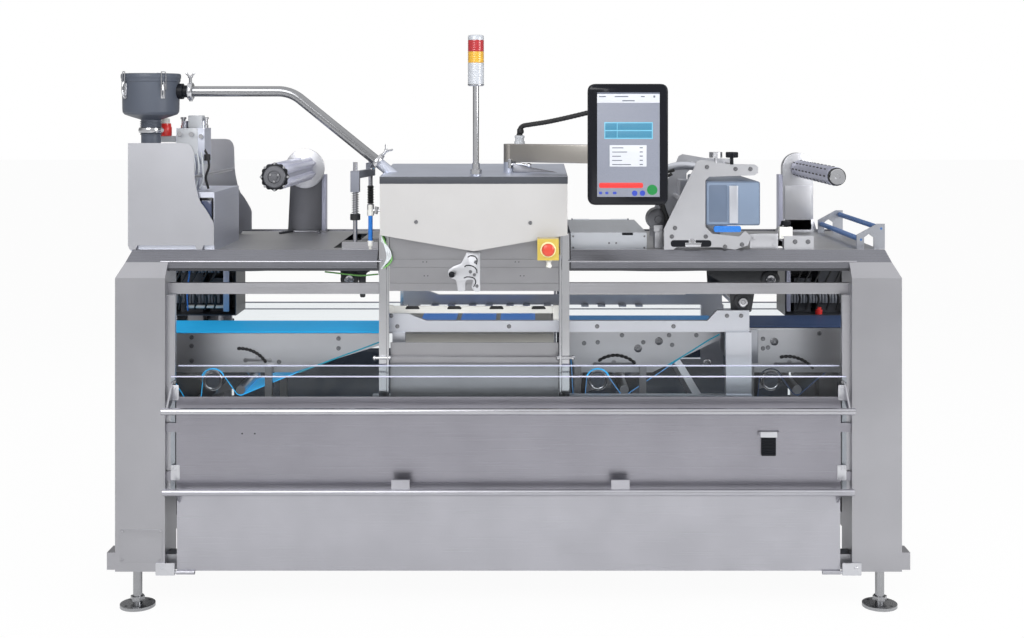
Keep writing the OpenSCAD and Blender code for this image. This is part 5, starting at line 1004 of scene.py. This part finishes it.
def operator_arm():
    """A square tube on its pivot, a gland, and a ribbed conduit that runs from it to the panel."""
    reach, low, high = 400, 1479, 1541
    wall = slab((0, -20, low), (reach, 20, high), 4, 1, "yz")
    hubs = [turned((a, 0, low), UP, [(0, 20), (1, 22), (61, 22), (62, 20)]) for a in (0, reach)]
    stud = turned((reach, 0, 1530), UP, [(0, 8), (104, 8)], 20)
    made = piece("arm_tube", arm_shape(wall, *hubs, stud), arm_alu, "panel_arm")
    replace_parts(made, "hmi_arm")
    profile = [(0, 18), (9, 18), (10, 15), (20, 15), (21, 17), (28, 17), (30, 12)]
    near = turned((36, 0, high), UP, profile, 8)
    far = turned((reach, 0, 1634), UP, [(0, 13), (13, 13), (15, 11)], 20)
    piece("arm_glands", arm_shape(near, far), fitting_grey, "panel_arm")
    path = on_arm([(36, 0, 1562), (36, 0, 1586), (48, 0, 1602), (80, 0, 1608), (140, 0, 1617),
                   (210, 0, 1631), (290, 0, 1649), (352, 0, 1664), (384, 0, 1668), (399, 0, 1662),
                   (400, 0, 1644)])
    line = flowing(path, 24)
    ribs = 8.1 + 0.4 * np.sin(np.arange(len(line)) * np.pi / 2)
    piece("arm_conduit", tube(line, ribs, 16), rubber_black_and_shade, "panel_arm")
    elbow = turned(line[22], (0.9, -0.4, 0.25), [(-4, 10), (0, 11.5), (9, 11.5), (12, 10)], 20)
    sleeve = turned(line[2], UP, [(0, 10.5), (12, 10.5)], 20)
    piece("arm_elbow", joined(elbow, sleeve), rubber_black_and_shade, "panel_arm")


# Filter pot and its pipe

POT_AT = (-1229, -300)
# How steeply the vacuum pipe runs down to the hood
PIPE_SLOPE = math.radians(39)


def round_pot(shape, degrees):
    """A shape made beside the pot's axis, turned round that axis and set at the pot."""
    points, corners, counts = shape
    c, s = math.cos(math.radians(degrees)), math.sin(math.radians(degrees))
    x, y = points[:, 0] * c - points[:, 1] * s, points[:, 0] * s + points[:, 1] * c
    return np.stack([POT_AT[0] + x, POT_AT[1] + y, points[:, 2]], 1), corners, counts


def wing_clamp(name, at, axis, tall):
    """A clamp band with its bolt lug and a wing nut: two flat wings that splay from a stud. `tall` is the
    way the stud points, made square to the pipe's axis."""
    a = unit(np.asarray(axis, float))
    t = unit(np.asarray(tall, float) - np.dot(tall, a) * a)
    at = np.asarray(at, float)
    band = turned(at - 9 * a, a, [(0, 24), (1, 29), (6, 31), (12, 31), (17, 29), (18, 24)], 32)
    stud = turned(at + 28 * t, t, [(0, 5), (18, 5), (19, 8), (24, 8), (25, 4)], 12)
    wings = [tube([at + up * t + out * a for up, out in ((50, 0), (54, 6 * s), (62, 13 * s), (66, 14 * s))],
                  [3.2, 3.4, 3.8, 2.4], 10) for s in (-1, 1)]
    lug = turned(at - 34 * t, t, [(0, 6), (8, 6)], 12)
    piece(name, joined(band, stud, lug, *wings), bright_steel)


def filter_pot():
    """A turned pot with a hollow top, a ribbed neck, three wire clips, a lid with a raised rim, a collar
    under the neck and an outlet, and the clamps at both ends of the pipe."""
    rib = ((0, 33), (1, 36.5), (4, 36.5), (5, 33))
    neck = [(1380, 33), (1570, 33)] + [(1572 + 7 * k + d, r) for k in range(7) for d, r in rib]
    wall = [(1624, 34), (1634, 66), (1642, 88), (1650, 94), (1662, 95), (1752, 96), (1756, 98.6),
            (1765, 98.6), (1765, 92), (1652, 90), (1650, 60)]
    body = turned((*POT_AT, 0), UP, neck + wall, 64)
    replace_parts(piece("pot_body", body, pot_plastic), "filter_pot")
    profile = [(1757, 70), (1757, 90.5), (1765.2, 90.8), (1765.2, 100), (1769, 100.4), (1777, 100.4),
               (1781, 98), (1782, 94), (1779, 90), (1778, 60)]
    lid = turned((*POT_AT, 0), UP, profile, 64)
    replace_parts(piece("pot_lid", lid, pot_plastic, "pot_lid"), "filter_lid")
    wires = [tube(flowing([(106, y, 1726), (105, y, 1750), (104, y, 1776), (103, y * 0.8, 1786)]), 1.8, 8)
             for y in (-8, 8)]
    clip = joined(slab((96, -8, 1696), (99.5, 8, 1748), 2, 0.6, "yz"),
                  tube(flowing([(100, 0, 1698), (107, 0, 1712), (108, 0, 1736), (104, 0, 1752)]), 3, 10),
                  *wires, tube([(103, -7, 1786), (102, 0, 1787), (103, 7, 1786)], 1.8, 8))
    clips = joined(*(round_pot(clip, degrees) for degrees in (225, 308, 90)))
    piece("pot_clips", clips, bright_steel)
    collar = turned((*POT_AT, 1578), UP, [(0, 36), (2, 40), (10, 42), (18, 40), (20, 36)], 32)
    screw = turned((POT_AT[0] + 40, POT_AT[1] - 8, 1588), (0.3, -1, 0), [(-8, 6), (16, 6)], 12)
    piece("pot_collar", joined(collar, screw), bright_steel)
    profile = [(0, 27), (28, 27), (30, 21), (45, 21), (46, 27), (52, 27)]
    piece("pot_outlet", turned((-1146, -300, 1721), ALONG, profile, 32), black_plastic_and_shade)
    wing_clamp("pot_outlet_clamp", (-1092.7, -300, 1721), ALONG, (-0.25, -0.1, 1))
    down = (math.cos(PIPE_SLOPE), 0, -math.sin(PIPE_SLOPE))
    wing_clamp("hood_inlet_clamp", (-452, -300, 1480), down, (0.2, 0, 1))


def vacuum_pipe():
    """A bent tube: a level run, a bend worked out on its circle, and a straight run down to the hood."""
    y, top, radius, bend, corner = -300, 1721, 18, 120, -749.4
    reach = bend * math.tan(PIPE_SLOPE / 2)
    t = np.linspace(0, PIPE_SLOPE, 24)
    curve = np.stack([corner - reach + bend * np.sin(t), np.full(24, y), top - bend * (1 - np.cos(t))], 1)
    level = [(-1092.7, y, top), (-980, y, top), (-860, y, top)]
    down = [(-600, y, top - (-600 - corner) * math.tan(PIPE_SLOPE)), (-452, y, 1480.2)]
    shape = tube(np.vstack([level, curve, down]), radius, 48)
    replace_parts(piece("vacuum_tube", shape, pipe_steel), "vacuum_pipe")


# Supply unit


def supply_details():
    """Valves, fittings and hoses between the side plates, and the dark bezel of the inner cabinet."""
    bezel = slab((-1042, -387, 1262), (-995, -384.5, 1362), 6, 0.8)
    piece("cabinet_bezel", bezel, glass_black)
    window = slab((-1036, -387.6, 1272), (-1002, -386.8, 1352), 4, 0.3)
    piece("cabinet_window", window, screen_dark)
    body = joined(slab((-1154, -251, 1500), (-1080, -150, 1594), 6, 2),
                  slab((-1082, -246, 1520), (-1057, -160, 1586), 4, 2),
                  slab((-1235, -214, 1545), (-1150, -186, 1566), 3, 1),
                  slab((-1120, -224, 1594), (-1072, -178, 1638), 3, 1))
    piece("valve_body", body, fitting_grey)
    cap = turned((-1205, -200, 1566), UP, [(0, 20), (2, 22), (30, 22), (34, 20), (44, 19)], 24)
    piece("valve_cap_red", cap, cap_red)
    bowl = turned((-1205, -200, 1610), UP, [(0, 15), (14, 15), (18, 12)], 24)
    piece("valve_bowl", bowl, fitting_white)
    spots = ((-1140, -251, 1574), (-1100, -251, 1574), (-1140, -251, 1520), (-1068, -246, 1566))
    knobs = [turned(spot, TO_FRONT, [(0, 5), (6, 5), (7, 8), (13, 8)], 16) for spot in spots]
    profile = [(0, 9), (10, 9), (11, 7), (30, 7), (31, 10), (38, 10)]
    top = [turned((x, -200, 1594), UP, profile, 16) for x in (-1064, -1142)]
    piece("valve_fittings", joined(*knobs, *top), bright_steel)
    hoses = [tube(flowing([(x, -246, 1512), (x + 8, -262, 1486), (x + 10, -262, 1452),
                           (x - 4 + k * 6, -250, 1416), (x - 6, -240, 1384)]), 3.2, 10)
             for k, x in enumerate((-1098, -1084, -1070))]
    piece("supply_hoses", joined(*hoses), hose_clear)
    cable = tube(flowing([(-1062, -240, 1524), (-1046, -256, 1500), (-1040, -256, 1462),
                          (-1052, -250, 1424), (-1046, -240, 1384)]), 4.2, 10)
    sleeve = turned((-1046, -256, 1482), UP, [(0, 9), (2, 11), (20, 11), (22, 9)], 16)
    piece("supply_cable", joined(cable, sleeve), rubber_black_and_shade)


# Film mandrels, their columns and the roller hangers


def spun(outline, degrees, centre):
    """A 2D outline turned about the origin and moved to a centre."""
    c, s = math.cos(math.radians(degrees)), math.sin(math.radians(degrees))
    return np.asarray(outline, float) @ np.array([[c, s], [-s, c]]) + centre


def arch(left, right, middle, radius):
    """Outline of a column: straight sides from the deck, and a half circle round the mandrel's axis."""
    t = np.linspace(0, np.pi, 20)
    cap = np.stack([np.cos(t), np.sin(t)], 1) * radius + middle
    return np.vstack([[(left, DECK_TOP), (right, DECK_TOP)], cap])


# Middles of the unwind and the rewind mandrel, as (x, z), and the deck's top
UNWIND_AT = (-796, 1430)
REWIND_AT = (1116, 1430)
DECK_TOP = 1182
# Front face of the roller hangers
HANGER_FACE = -309.2


def mandrel_columns():
    """Two arched columns with side flanges and splayed feet, and the four roller hangers under the deck
    with their end caps."""
    foot = [(-893, DECK_TOP), (-711, DECK_TOP), (-722, 1188), (-882, 1188)]
    toes = [tube([(x, 330, 1184), (x + splay, 250, 1186)], [7, 4], 8)
            for x, splay in ((-850, -34), (-745, 10))]
    # The unwind column is in the darker steel as painted shade; the rewind column is in the pale plate
    # steel
    left = joined(plate(arch(-868, -736, UNWIND_AT, 60), 341, 380, "xz", 2),
                  plate(foot, 334, 372, "xz", 0.5), *toes)
    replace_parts(piece("unwind_column", left, dark_steel_and_shade), "film_brackets")
    flange = slab((-735.5, 336, DECK_TOP), (-720, 384, 1405), 2, 1)
    piece("unwind_flange", flange, anodised)
    foot = [(1031, DECK_TOP), (1201, DECK_TOP), (1188, 1190), (1176, 1230), (1056, 1230)]
    right = joined(plate(arch(1056, 1176, REWIND_AT, 60), 341, 380, "xz", 2),
                   slab((1064, 336, 1190), (1168, 341.5, 1362), 4, 1), plate(foot, 336, 372, "xz", 0.5))
    piece("rewind_column", right, plate_steel)
    flange = slab((1040, 336, DECK_TOP), (1055.5, 384, 1405), 2, 1)
    piece("rewind_flange", flange, anodised)
    left_hanger = np.array([(0.05, 1), (1, 1), (1, 0.62), (0.76, 0.5), (0.74, 0), (0.6, 0), (0.56, 0.4),
                            (0.44, 0.24), (0.2, 0.24), (0.08, 0.4), (0.05, 0.66)])
    right_hanger = np.array([(0, 1), (1, 1), (0.98, 0.52), (0.9, 0.42), (0.68, 0.42), (0.62, 0),
                             (0.34, 0), (0.32, 0.4), (0.02, 0.6)])
    outlines = (left_hanger * (126, 164) + (-586, 1015), right_hanger * (248.6, 214) + (675.7, 965))
    hangers = [plate(eased(outline, 6), HANGER_FACE, -303.4) for outline in outlines]
    piece("roller_hangers", mirrored(joined(*hangers), 1), dark_paint)
    ends = [turned((x, HANGER_FACE, z), TO_FRONT, [(0, 12), (5, 12), (7, 9)], 20)
            for x, z in ((-546, 1078), (895, 1078), (800, 985))]
    piece("roller_end_caps", mirrored(joined(*ends), 1), bolt_steel)


def unwind_mandrel():
    """A core with four ribbed gripping bars, a scalloped black front disc under a grey cap with lugs and
    rim bolts, and a back disc. The scallop's radius is 46.5 + 2.2 cos 12t."""
    x, z = UNWIND_AT
    t = np.linspace(0, 2 * np.pi, 96, endpoint=False)
    scallop = np.stack([np.cos(t), np.sin(t)], 1) * (46.5 + 2.2 * np.cos(12 * t))[:, None] + (x, z)
    core = joined(turned((x, -344, z), TO_BACK, [(0, 30), (644, 30)]),
                  turned((x, 312, z), TO_BACK, [(0, 12), (80, 12)], 24))
    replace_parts(piece("unwind_core", core, anodised, "unwind"), "unwind_mandrel")
    bar = [(-17, 27), (17, 27), (17, 33), (14, 34.5), (17, 36), (17, 44), (12, 47.5), (4, 47.5), (2, 44),
           (-2, 44), (-4, 47.5), (-12, 47.5), (-17, 44), (-17, 36), (-14, 34.5), (-17, 33)]
    bars = [plate(spun(bar, degrees, (x, z)), -340, 298, "xz", 0.6) for degrees in (45, 135, 225, 315)]
    piece("unwind_bars", joined(*bars), profile_alu, "unwind")
    disc = plate(scallop, -352, -341, "xz", 1)
    piece("unwind_front_disc", disc, black_plastic_and_shade, "unwind")
    profile = [(0, 38), (5, 38), (8, 35), (8.5, 22), (5, 20), (5, 12), (9, 11), (9.5, 4)]
    cap = turned((x, -352, z), TO_FRONT, profile, 40)
    piece("unwind_cap", cap, dark_steel_and_shade, "unwind")
    lugs = [turned((x + 15 * math.cos(a), -357, z + 15 * math.sin(a)), TO_FRONT, [(0, 4), (5, 4)], 6)
            for a in (0.5, 2.6, 4.7)]
    piece("unwind_lugs", joined(*lugs), bright_steel, "unwind")
    profile = [(0, 4.5), (4, 4.5), (5, 3.5)]
    rim = [turned((x + 45 * math.cos(a), -352, z + 45 * math.sin(a)), TO_FRONT, profile, 12)
           for a in np.arange(8) * math.pi / 4]
    piece("unwind_rim_bolts", joined(*rim), bright_steel, "unwind")
    back = turned((x, 300, z), TO_BACK, [(0, 72), (2, 76), (10, 76), (12, 72)], 64)
    piece("unwind_back_disc", back, plate_steel, "unwind")


def rewind_mandrel():
    """A barrel with eight rows of short slots, drawn as black rods of painted shade, every second row moved
    on, a dark ring and a bright cap.
    """
    x, z = REWIND_AT
    barrel = joined(turned((x, -330, z), TO_BACK, [(0, 31), (1, 32), (641, 32), (642, 31)], 48),
                    turned((x, 312, z), TO_BACK, [(0, 12), (80, 12)], 24))
    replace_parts(piece("rewind_barrel", barrel, anodised, "rewind"), "rewind_mandrel")
    # Painted shade: each slot is a short black rod half sunk in the barrel
    slots = []
    for k, a in enumerate(np.arange(8) * np.pi / 4):
        at = np.array([x + 31 * math.cos(a), 0, z + 31 * math.sin(a)])
        row = [(0, y + (k % 2) * 30, 0) for y in range(-300, 280, 62)]
        slots.append(repeated(tube([at, at + [0, 26, 0]], 3, 8), row))
    piece("rewind_slots", joined(*slots), rubber_black_and_shade, "rewind")
    ring = turned((x, -345, z), TO_BACK, [(0, 28), (2, 30.5), (16, 30.5)], 40)
    piece("rewind_ring", ring, rubber_black_and_shade, "rewind")
    cap = turned((x, -345, z), TO_FRONT, [(0, 27), (5, 27), (7, 25), (7.6, 9), (6, 8), (6, 3)], 40)
    piece("rewind_cap", cap, bright_steel, "rewind")


# Dancer


def dancer_details():
    """A black collar and a bellows of seven folds on the dancer's rods; beside the hood, the air hose with
    its fittings and clamp, the earth wire and three pale hoses."""
    collar = turned((-522, -350, 1283.6), UP, [(0, 16.2), (1, 17.2), (20, 17.2), (21, 16.2)], 24)
    folds = [(9 * k + d, r) for k in range(7) for d, r in ((0, 8.4), (4.5, 12.5))] + [(64, 8.4)]
    bellows = turned((-492, -150, 1326), UP, folds, 24)
    piece("dancer_collars", joined(collar, bellows), rubber_black_and_shade)
    x, y = -468, -372
    white = joined(turned((x, y, 1300), UP, [(0, 8), (2, 10), (20, 10), (22, 8), (36, 8)], 20),
                   turned((x, y, 1186), UP, [(0, 9), (10, 9), (12, 11), (26, 11), (30, 9)], 20))
    piece("air_fittings", white, fitting_white)
    hose = tube([(x, y, 1212), (x - 0.4, y, 1240), (x, y, 1270), (x, y, 1302)], 7.5, 16)
    piece("air_hose", hose, hose_blue)
    clamp = joined(tube([(x, y, 1318), (-424, y, 1318)], 4.5, 12),
                   turned((-448, y, 1318), (0.2, 0, 1), [(-12, 7), (12, 7)], 12))
    piece("air_clamp", clamp, bright_steel)
    wire = tube(flowing([(-424, -440, 1246), (-412, -446, 1216), (-396, -446, 1186), (-390, -446, 1160),
                         (-404, -440, 1140), (-420, -436, 1130)]), 3.4, 10)
    piece("earth_wire", wire, wire_green)
    pale = [tube(flowing([(-424, -442, 1238 - k * 8), (-410 + k * 4, -450, 1200),
                          (-404 + k * 6, -450, 1170), (-414, -446, 1142), (-424, -438, 1128)]), 3, 10)
            for k in range(3)]
    piece("hood_hoses", joined(*pale), hose_clear)


# Box and printer on the deck


def junction_details():
    """The finger notch, a thin black slab of painted shade, two screws and the corner rivets of the box."""
    # Painted shade: the notch is a thin black slab on the box's face
    notch = slab((384, -351.2, 1232), (421, -349.6, 1240.6), 2, 0.3)
    piece("box_notch", notch, black_plastic_and_shade)
    spots = [(340, 1205.5), (364, 1205.5), (218, 1190), (460, 1190), (218, 1228), (460, 1228)]
    screws = repeated(socket_head(TO_FRONT, 3.2, 2), [(x, -350, z) for x, z in spots])
    piece("box_screws", screws, bolt_steel)


def printer_details():
    """Bolts, slot and slider of the front plate, the slot a thin black slab of painted shade, the print
    cassette, the star knob, the ribbon drum with its bracket, cables and rear arm, the foot plate and the
    film clamp. The star's radius is 19 + 3 cos 5t."""
    spots = [(558.6, 1260.7), (666, 1465.7), (762, 1459), (812, 1459), (726.6, 1198), (783.8, 1205),
             (548, 1232), (662, 1232)]
    bolts = repeated(hex_head(TO_FRONT, 6, 5), [(x, -400, z) for x, z in spots])
    piece("printer_bolts", bolts, bolt_steel)
    # Painted shade: the slot is a thin black slab on the plate
    opening = slab((544, -400.6, 1197), (681, -399.5, 1220), 11, 0.2)
    piece("printer_slot", opening, black_plastic_and_shade)
    slider = joined(slab((592, -405, 1198), (646, -399.8, 1212), 4, 1),
                    slab((604, -404, 1208), (628, -399.8, 1224), 8, 1),
                    repeated(hex_head(TO_FRONT, 5, 4), [(616, -404, 1216)]))
    piece("printer_slider", slider, bright_steel)
    lo, hi = box_of("printer_cassette")
    case = slab((lo[0], lo[1] + 3, lo[2]), (hi[0], hi[1], hi[2]), 9, 2)
    made = piece("cassette_case", case, cassette_paint, "cassette")
    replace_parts(made, "printer_cassette")
    face = slab((lo[0] + 4, lo[1] - 0.4, lo[2] + 4), (hi[0] - 4, lo[1] + 4, hi[2] - 4), 8, 1)
    piece("cassette_face", face, cassette_blue, "cassette")
    shade = slab((lo[0] + 10, lo[1] - 0.9, lo[2] + 12), (lo[0] + 72, lo[1] + 1, hi[2] - 12), 6, 0.3)
    piece("cassette_shade", shade, cassette_paint, "cassette")
    bar = slab((lo[0] + 78, lo[1] - 7, lo[2] + 8), (lo[0] + 108, lo[1] + 1, hi[2] - 14), 3, 2)
    piece("cassette_bar", bar, beam_alu, "cassette")
    window = slab((690, -394, 1246), (782, -386, 1267), 8, 1)
    piece("cassette_window", window, hose_blue)
    t = np.linspace(0, 2 * np.pi, 60, endpoint=False)
    x, y, z = 749.5, -397, 1497
    star = np.stack([np.cos(t), np.sin(t)], 1) * (19 + 3 * np.cos(5 * t))[:, None] + (x, y)
    knob = joined(plate(star, z, z + 19, "xy", 3), turned((x, y, z - 23), UP, [(0, 6), (24, 6)], 16))
    piece("star_knob", knob, black_plastic_and_shade)
    drum = joined(turned((512, -300, 1281), TO_BACK, [(0, 28), (3, 38), (80, 38), (83, 28)], 40),
                  turned((512, -304, 1281), TO_BACK, [(0, 12), (5, 14)], 24))
    piece("ribbon_drum", drum, dark_steel_and_shade)
    bracket = joined(slab((500, -296, 1182.5), (530, -240, 1262), 4, 1),
                     slab((496, -306, 1240), (528, -300, 1262), 3, 1))
    piece("drum_bracket", bracket, plate_steel)
    near = [(556, 1440), (524, 1420), (516, 1370), (530, 1320), (548, 1262), (544, 1200)]
    behind = [(566, 1452), (530, 1436), (508, 1380), (520, 1330), (540, 1280), (534, 1190)]
    cables = [tube(flowing([(x, y, z) for x, z in way]), 5.5, 12)
              for way, y in ((near, -330), (behind, -310))]
    piece("printer_cables", joined(*cables), rubber_black_and_shade)
    arm = tube(flowing([(520, -200, 1330), (524, -200, 1400), (548, -200, 1446), (600, -200, 1462),
                        (680, -200, 1456)]), 14, 16)
    piece("printer_rear_arm", arm, beam_alu)
    spots = [(826, -384, 1226), (894, -384, 1226), (894, -384, 1202)]
    foot = joined(slab((812, -384, 1190), (908, -372, 1240), 4, 1),
                  repeated(hex_head(TO_FRONT, 5, 4), spots))
    piece("printer_foot_plate", foot, plate_steel)
    bolts = repeated(hex_head(TO_FRONT, 6.5, 5), [(965, -385, 1213), (1008.6, -385, 1213)])
    piece("clamp_bolts", bolts, bolt_steel)
    block = slab((914, -378, 1222), (958, -350, 1262), 3, 1)
    piece("clamp_block", block, fitting_white)
    knob = turned((938, -364, 1262), UP, [(0, 7), (5, 7), (6, 16), (16, 17), (20, 15)], 24)
    piece("clamp_knob", knob, black_plastic_and_shade)


# Conveyor details


def arc_points(middle, radius, first, last, steps=40):
    """Points on an arc just before the side plates, between two angles in degrees."""
    t = np.radians(np.linspace(first, last, steps))
    x, z = middle[0] + radius * np.cos(t), middle[1] + radius * np.sin(t)
    return np.stack([x, np.full(steps, -145.5), z], 1)


def conveyor_details():
    """Covers and black brush strips over the side plates' slots, bearing cups, drive roller caps and belt
    edges, and the exit conveyor's bracket. A brush's radius is 3.8 + 2.2 |sin|, with nine scallops."""
    covers = [slab((x0, -142.9, z0), (x0 + width, -138.4, z0 + 40), 2, 0.3)
              for x0, z0, width in ((-962, 748, 136), (276, 746, 190), (918, 746, 150))]
    piece("slot_covers", joined(*covers), sheet_steel)
    wave = 3.8 + 2.2 * np.abs(np.sin(np.linspace(0, 9 * np.pi, 145)))
    arcs = (((-955, 702), 110, 95, 33), ((375, 690), 98, 128, 44), ((985, 670), 114, 104, 38))
    brushes = [tube(arc_points(*arc, 145), wave, 8) for arc in arcs]
    piece("brush_strips", joined(*brushes), rubber_black_and_shade)
    profile = [(0, 14), (3, 14), (4, 12), (4.4, 8), (2, 7), (2, 4), (6, 3.6)]
    cups = [turned((x, SIDE_FACE, z), TO_FRONT, profile, 24)
            for x, z in ((529, 838), (938, 836), (455, 812), (700, 760))]
    piece("nose_bearings", joined(*cups), bolt_steel)
    ring_profile = [(0, 35), (2.2, 35), (3.2, 33.6), (3.2, 27), (2.6, 26), (0.5, 25.5)]
    hub_profile = [(0, 25.2), (0.6, 25.2), (0.8, 12), (1.6, 11.4), (1.6, 4)]
    # The hubs, and the exit belt's edge, are in the dark steel of painted shade
    edges = {"infeed_drive": belt_bright, "outfeed_drive": belt_bright, "exit_drive": painted_shade_steel}
    for body, edge in edges.items():
        lo, hi = box_of(body + "_roller")
        x, z = (lo[0] + hi[0]) / 2, (lo[2] + hi[2]) / 2
        ring = turned((x, lo[1] + 1, z), TO_FRONT, ring_profile, 48)
        piece(body + "_cap", ring, bright_steel, body)
        hub = turned((x, lo[1] - 0.2, z), TO_FRONT, hub_profile, 40)
        piece(body + "_hub", hub, painted_shade_steel, body)
        wrap = tube(arc_points((x, z), 42, 22, 158), 2.4, 8)
        piece(body + "_belt_edge", wrap, edge)
    infeed = [(-746, -141, 727), (-640, -141, 768), (-520, -141, 812), (-452, -141, 838)]
    outfeed = [(560, -141, 752), (640, -141, 800), (700, -141, 838), (744, -141, 862)]
    runs = [tube(flowing(way), 3.4, 8) for way in (infeed, outfeed)]
    piece("return_belt_edges", joined(*runs), belt_teal)
    leg = slab((784, -149, 760), (880, -144, 880), 4, 1)
    on_leg = repeated(hex_head(TO_FRONT, 6.5, 4), [(846, -149, 868), (826, -149, 822)])
    piece("exit_bracket", joined(leg, on_leg), beam_alu)
    beside = repeated(hex_head(TO_FRONT, 6.5, 4.5), [(898, SIDE_FACE, 846), (898, SIDE_FACE, 812)])
    piece("exit_bolts", beside, bolt_steel)


def under_deck_details():
    """Two cable trunks and an earth wire under the deck, and the bearing rings and pins on the hangers."""
    left = [(-1120, -380, 1128), (-900, -380, 1122), (-700, -380, 1126), (-470, -380, 1120)]
    right = [(240, -380, 1126), (520, -380, 1122), (860, -380, 1127), (1120, -380, 1124)]
    trunks = [tube(flowing(way), 9, 10) for way in (left, right)]
    piece("deck_cables", joined(*trunks), rubber_black_and_shade)
    way = [(-620, -386, 1112), (-560, -392, 1106), (-500, -392, 1100), (-440, -388, 1104)]
    piece("deck_earth_wire", tube(flowing(way), 2.6, 8), wire_green)
    spots = [(x, HANGER_FACE, z) for x, z in ((-546, 1078), (895, 1078), (800, 1000))]
    rings = [turned(spot, TO_FRONT, [(0, 31), (6, 31), (8, 28), (8.4, 19), (6, 18)], 32) for spot in spots]
    pins = [turned(spot, TO_FRONT, [(4, 16), (12, 16), (14, 14), (14.5, 8), (12, 6)], 24) for spot in spots]
    piece("film_bearing_rings", joined(*rings), dark_paint)
    piece("film_bearing_pins", joined(*pins), bright_steel)


def cover_screws():
    """Screws of the rear panel and the end panels, the bend at the deck's front in brighter, glossier steel
    than the deck as a painted highlight, and the seals in the rear channels."""
    inset, rise, end_face = 24, 30, 1300
    lo, hi = box_of("rear_panel")
    rows = [(x, hi[1], z) for x in np.linspace(lo[0] + inset, hi[0] - inset, 7)
            for z in (lo[2] + rise, hi[2] - rise)]
    piece("rear_panel_screws", repeated(socket_head(TO_BACK, 6, 2.4), rows), bolt_steel)
    spots = [(end_face, y, z) for y in (-280, 0, 280) for z in (160, 560)]
    ends = repeated(socket_head(ALONG, 6, 2.4), spots)
    piece("end_panel_screws", mirrored(ends), bolt_steel)
    deck_front = box_of("deck_plates")[0][1]
    # Painted highlight: a real rounding of the sheet, drawn in brighter steel than the deck
    bends = [turned((left, deck_front + 1.6, 1152), ALONG, [(0, 2.6), (right - left, 2.6)], 16)
             for left, right in ((-1160, -425), (200, 1160))]
    piece("deck_front_bend_highlight", joined(*bends), tube_steel)
    seals = mirrored(slab((1106.5, 451, 150), (1124, 457, 760), 1, 0.5))
    piece("rear_channel_seals", seals, edge_dark)


# Inside the body


def cabinet_insides():
    """Rows of terminals, posts, tubes, a plug and looped cables in the two control cabinets behind the
    windows."""
    clip = slab((0, 200, 0), (9, 240, 34), 1, 1)
    rows = [repeated(clip, [(x, 0, z) for x in np.arange(-1268, -1100, 12) for z in (925, 1040)]),
            repeated(clip, [(x, 0, z) for x in np.arange(1060, 1270, 12) for z in (925, 1050)])]
    piece("terminal_rows", joined(*rows), cabinet_grey)
    posts = joined(slab((-1078, 149, 900), (-1056, 156, 1110), 2, 1),
                   slab((1036, 149, 900), (1051, 156, 1110), 2, 1))
    piece("cabinet_posts", posts, anodised)
    bar = turned((-1219, 170, 916), ALONG, [(0, 5), (2, 6.5), (150, 6.5), (152, 5)], 20)
    piece("cabinet_tube", bar, fitting_white)
    plug = turned((1161, 170, 884), UP, [(0, 14), (20, 14), (22, 10), (30, 10)], 20)
    piece("cabinet_plug", plug, cap_red)
    loops = [tube(flowing([(x, 160, 1110), (x + 14, 150, 1060), (x - 10, 150, 1000), (x + 8, 158, 950),
                           (x, 168, 905)]), 4, 10)
             for x in (-1250, -1226, -1190, -1150, -1116, 1080, 1112, 1150, 1190, 1226)]
    piece("cabinet_cables", joined(*loops), rubber_black_and_shade)
    way = [(-1201, 146, 1110), (-1204, 144, 1040), (-1212, 144, 980), (-1210, 148, 905)]
    piece("cabinet_hose", tube(flowing(way), 3, 10), hose_blue)


set_camera()
set_world()
set_stage()
dress_nodes()
operator_panel()
signal_tower()
clear_guard("front_guard", 1, 0)
clear_guard("rear_guard", -1, 92)
fasteners()
panel_latch()
hood_details()
tool_lock()
station_details()
trays()
stop_button()
operator_arm()
filter_pot()
supply_details()
mandrel_columns()
unwind_mandrel()
rewind_mandrel()
dancer_details()
junction_details()
printer_details()
cabinet_insides()
vacuum_pipe()
conveyor_details()
under_deck_details()
cover_screws()

SCENE.view_settings.view_transform = "Standard"
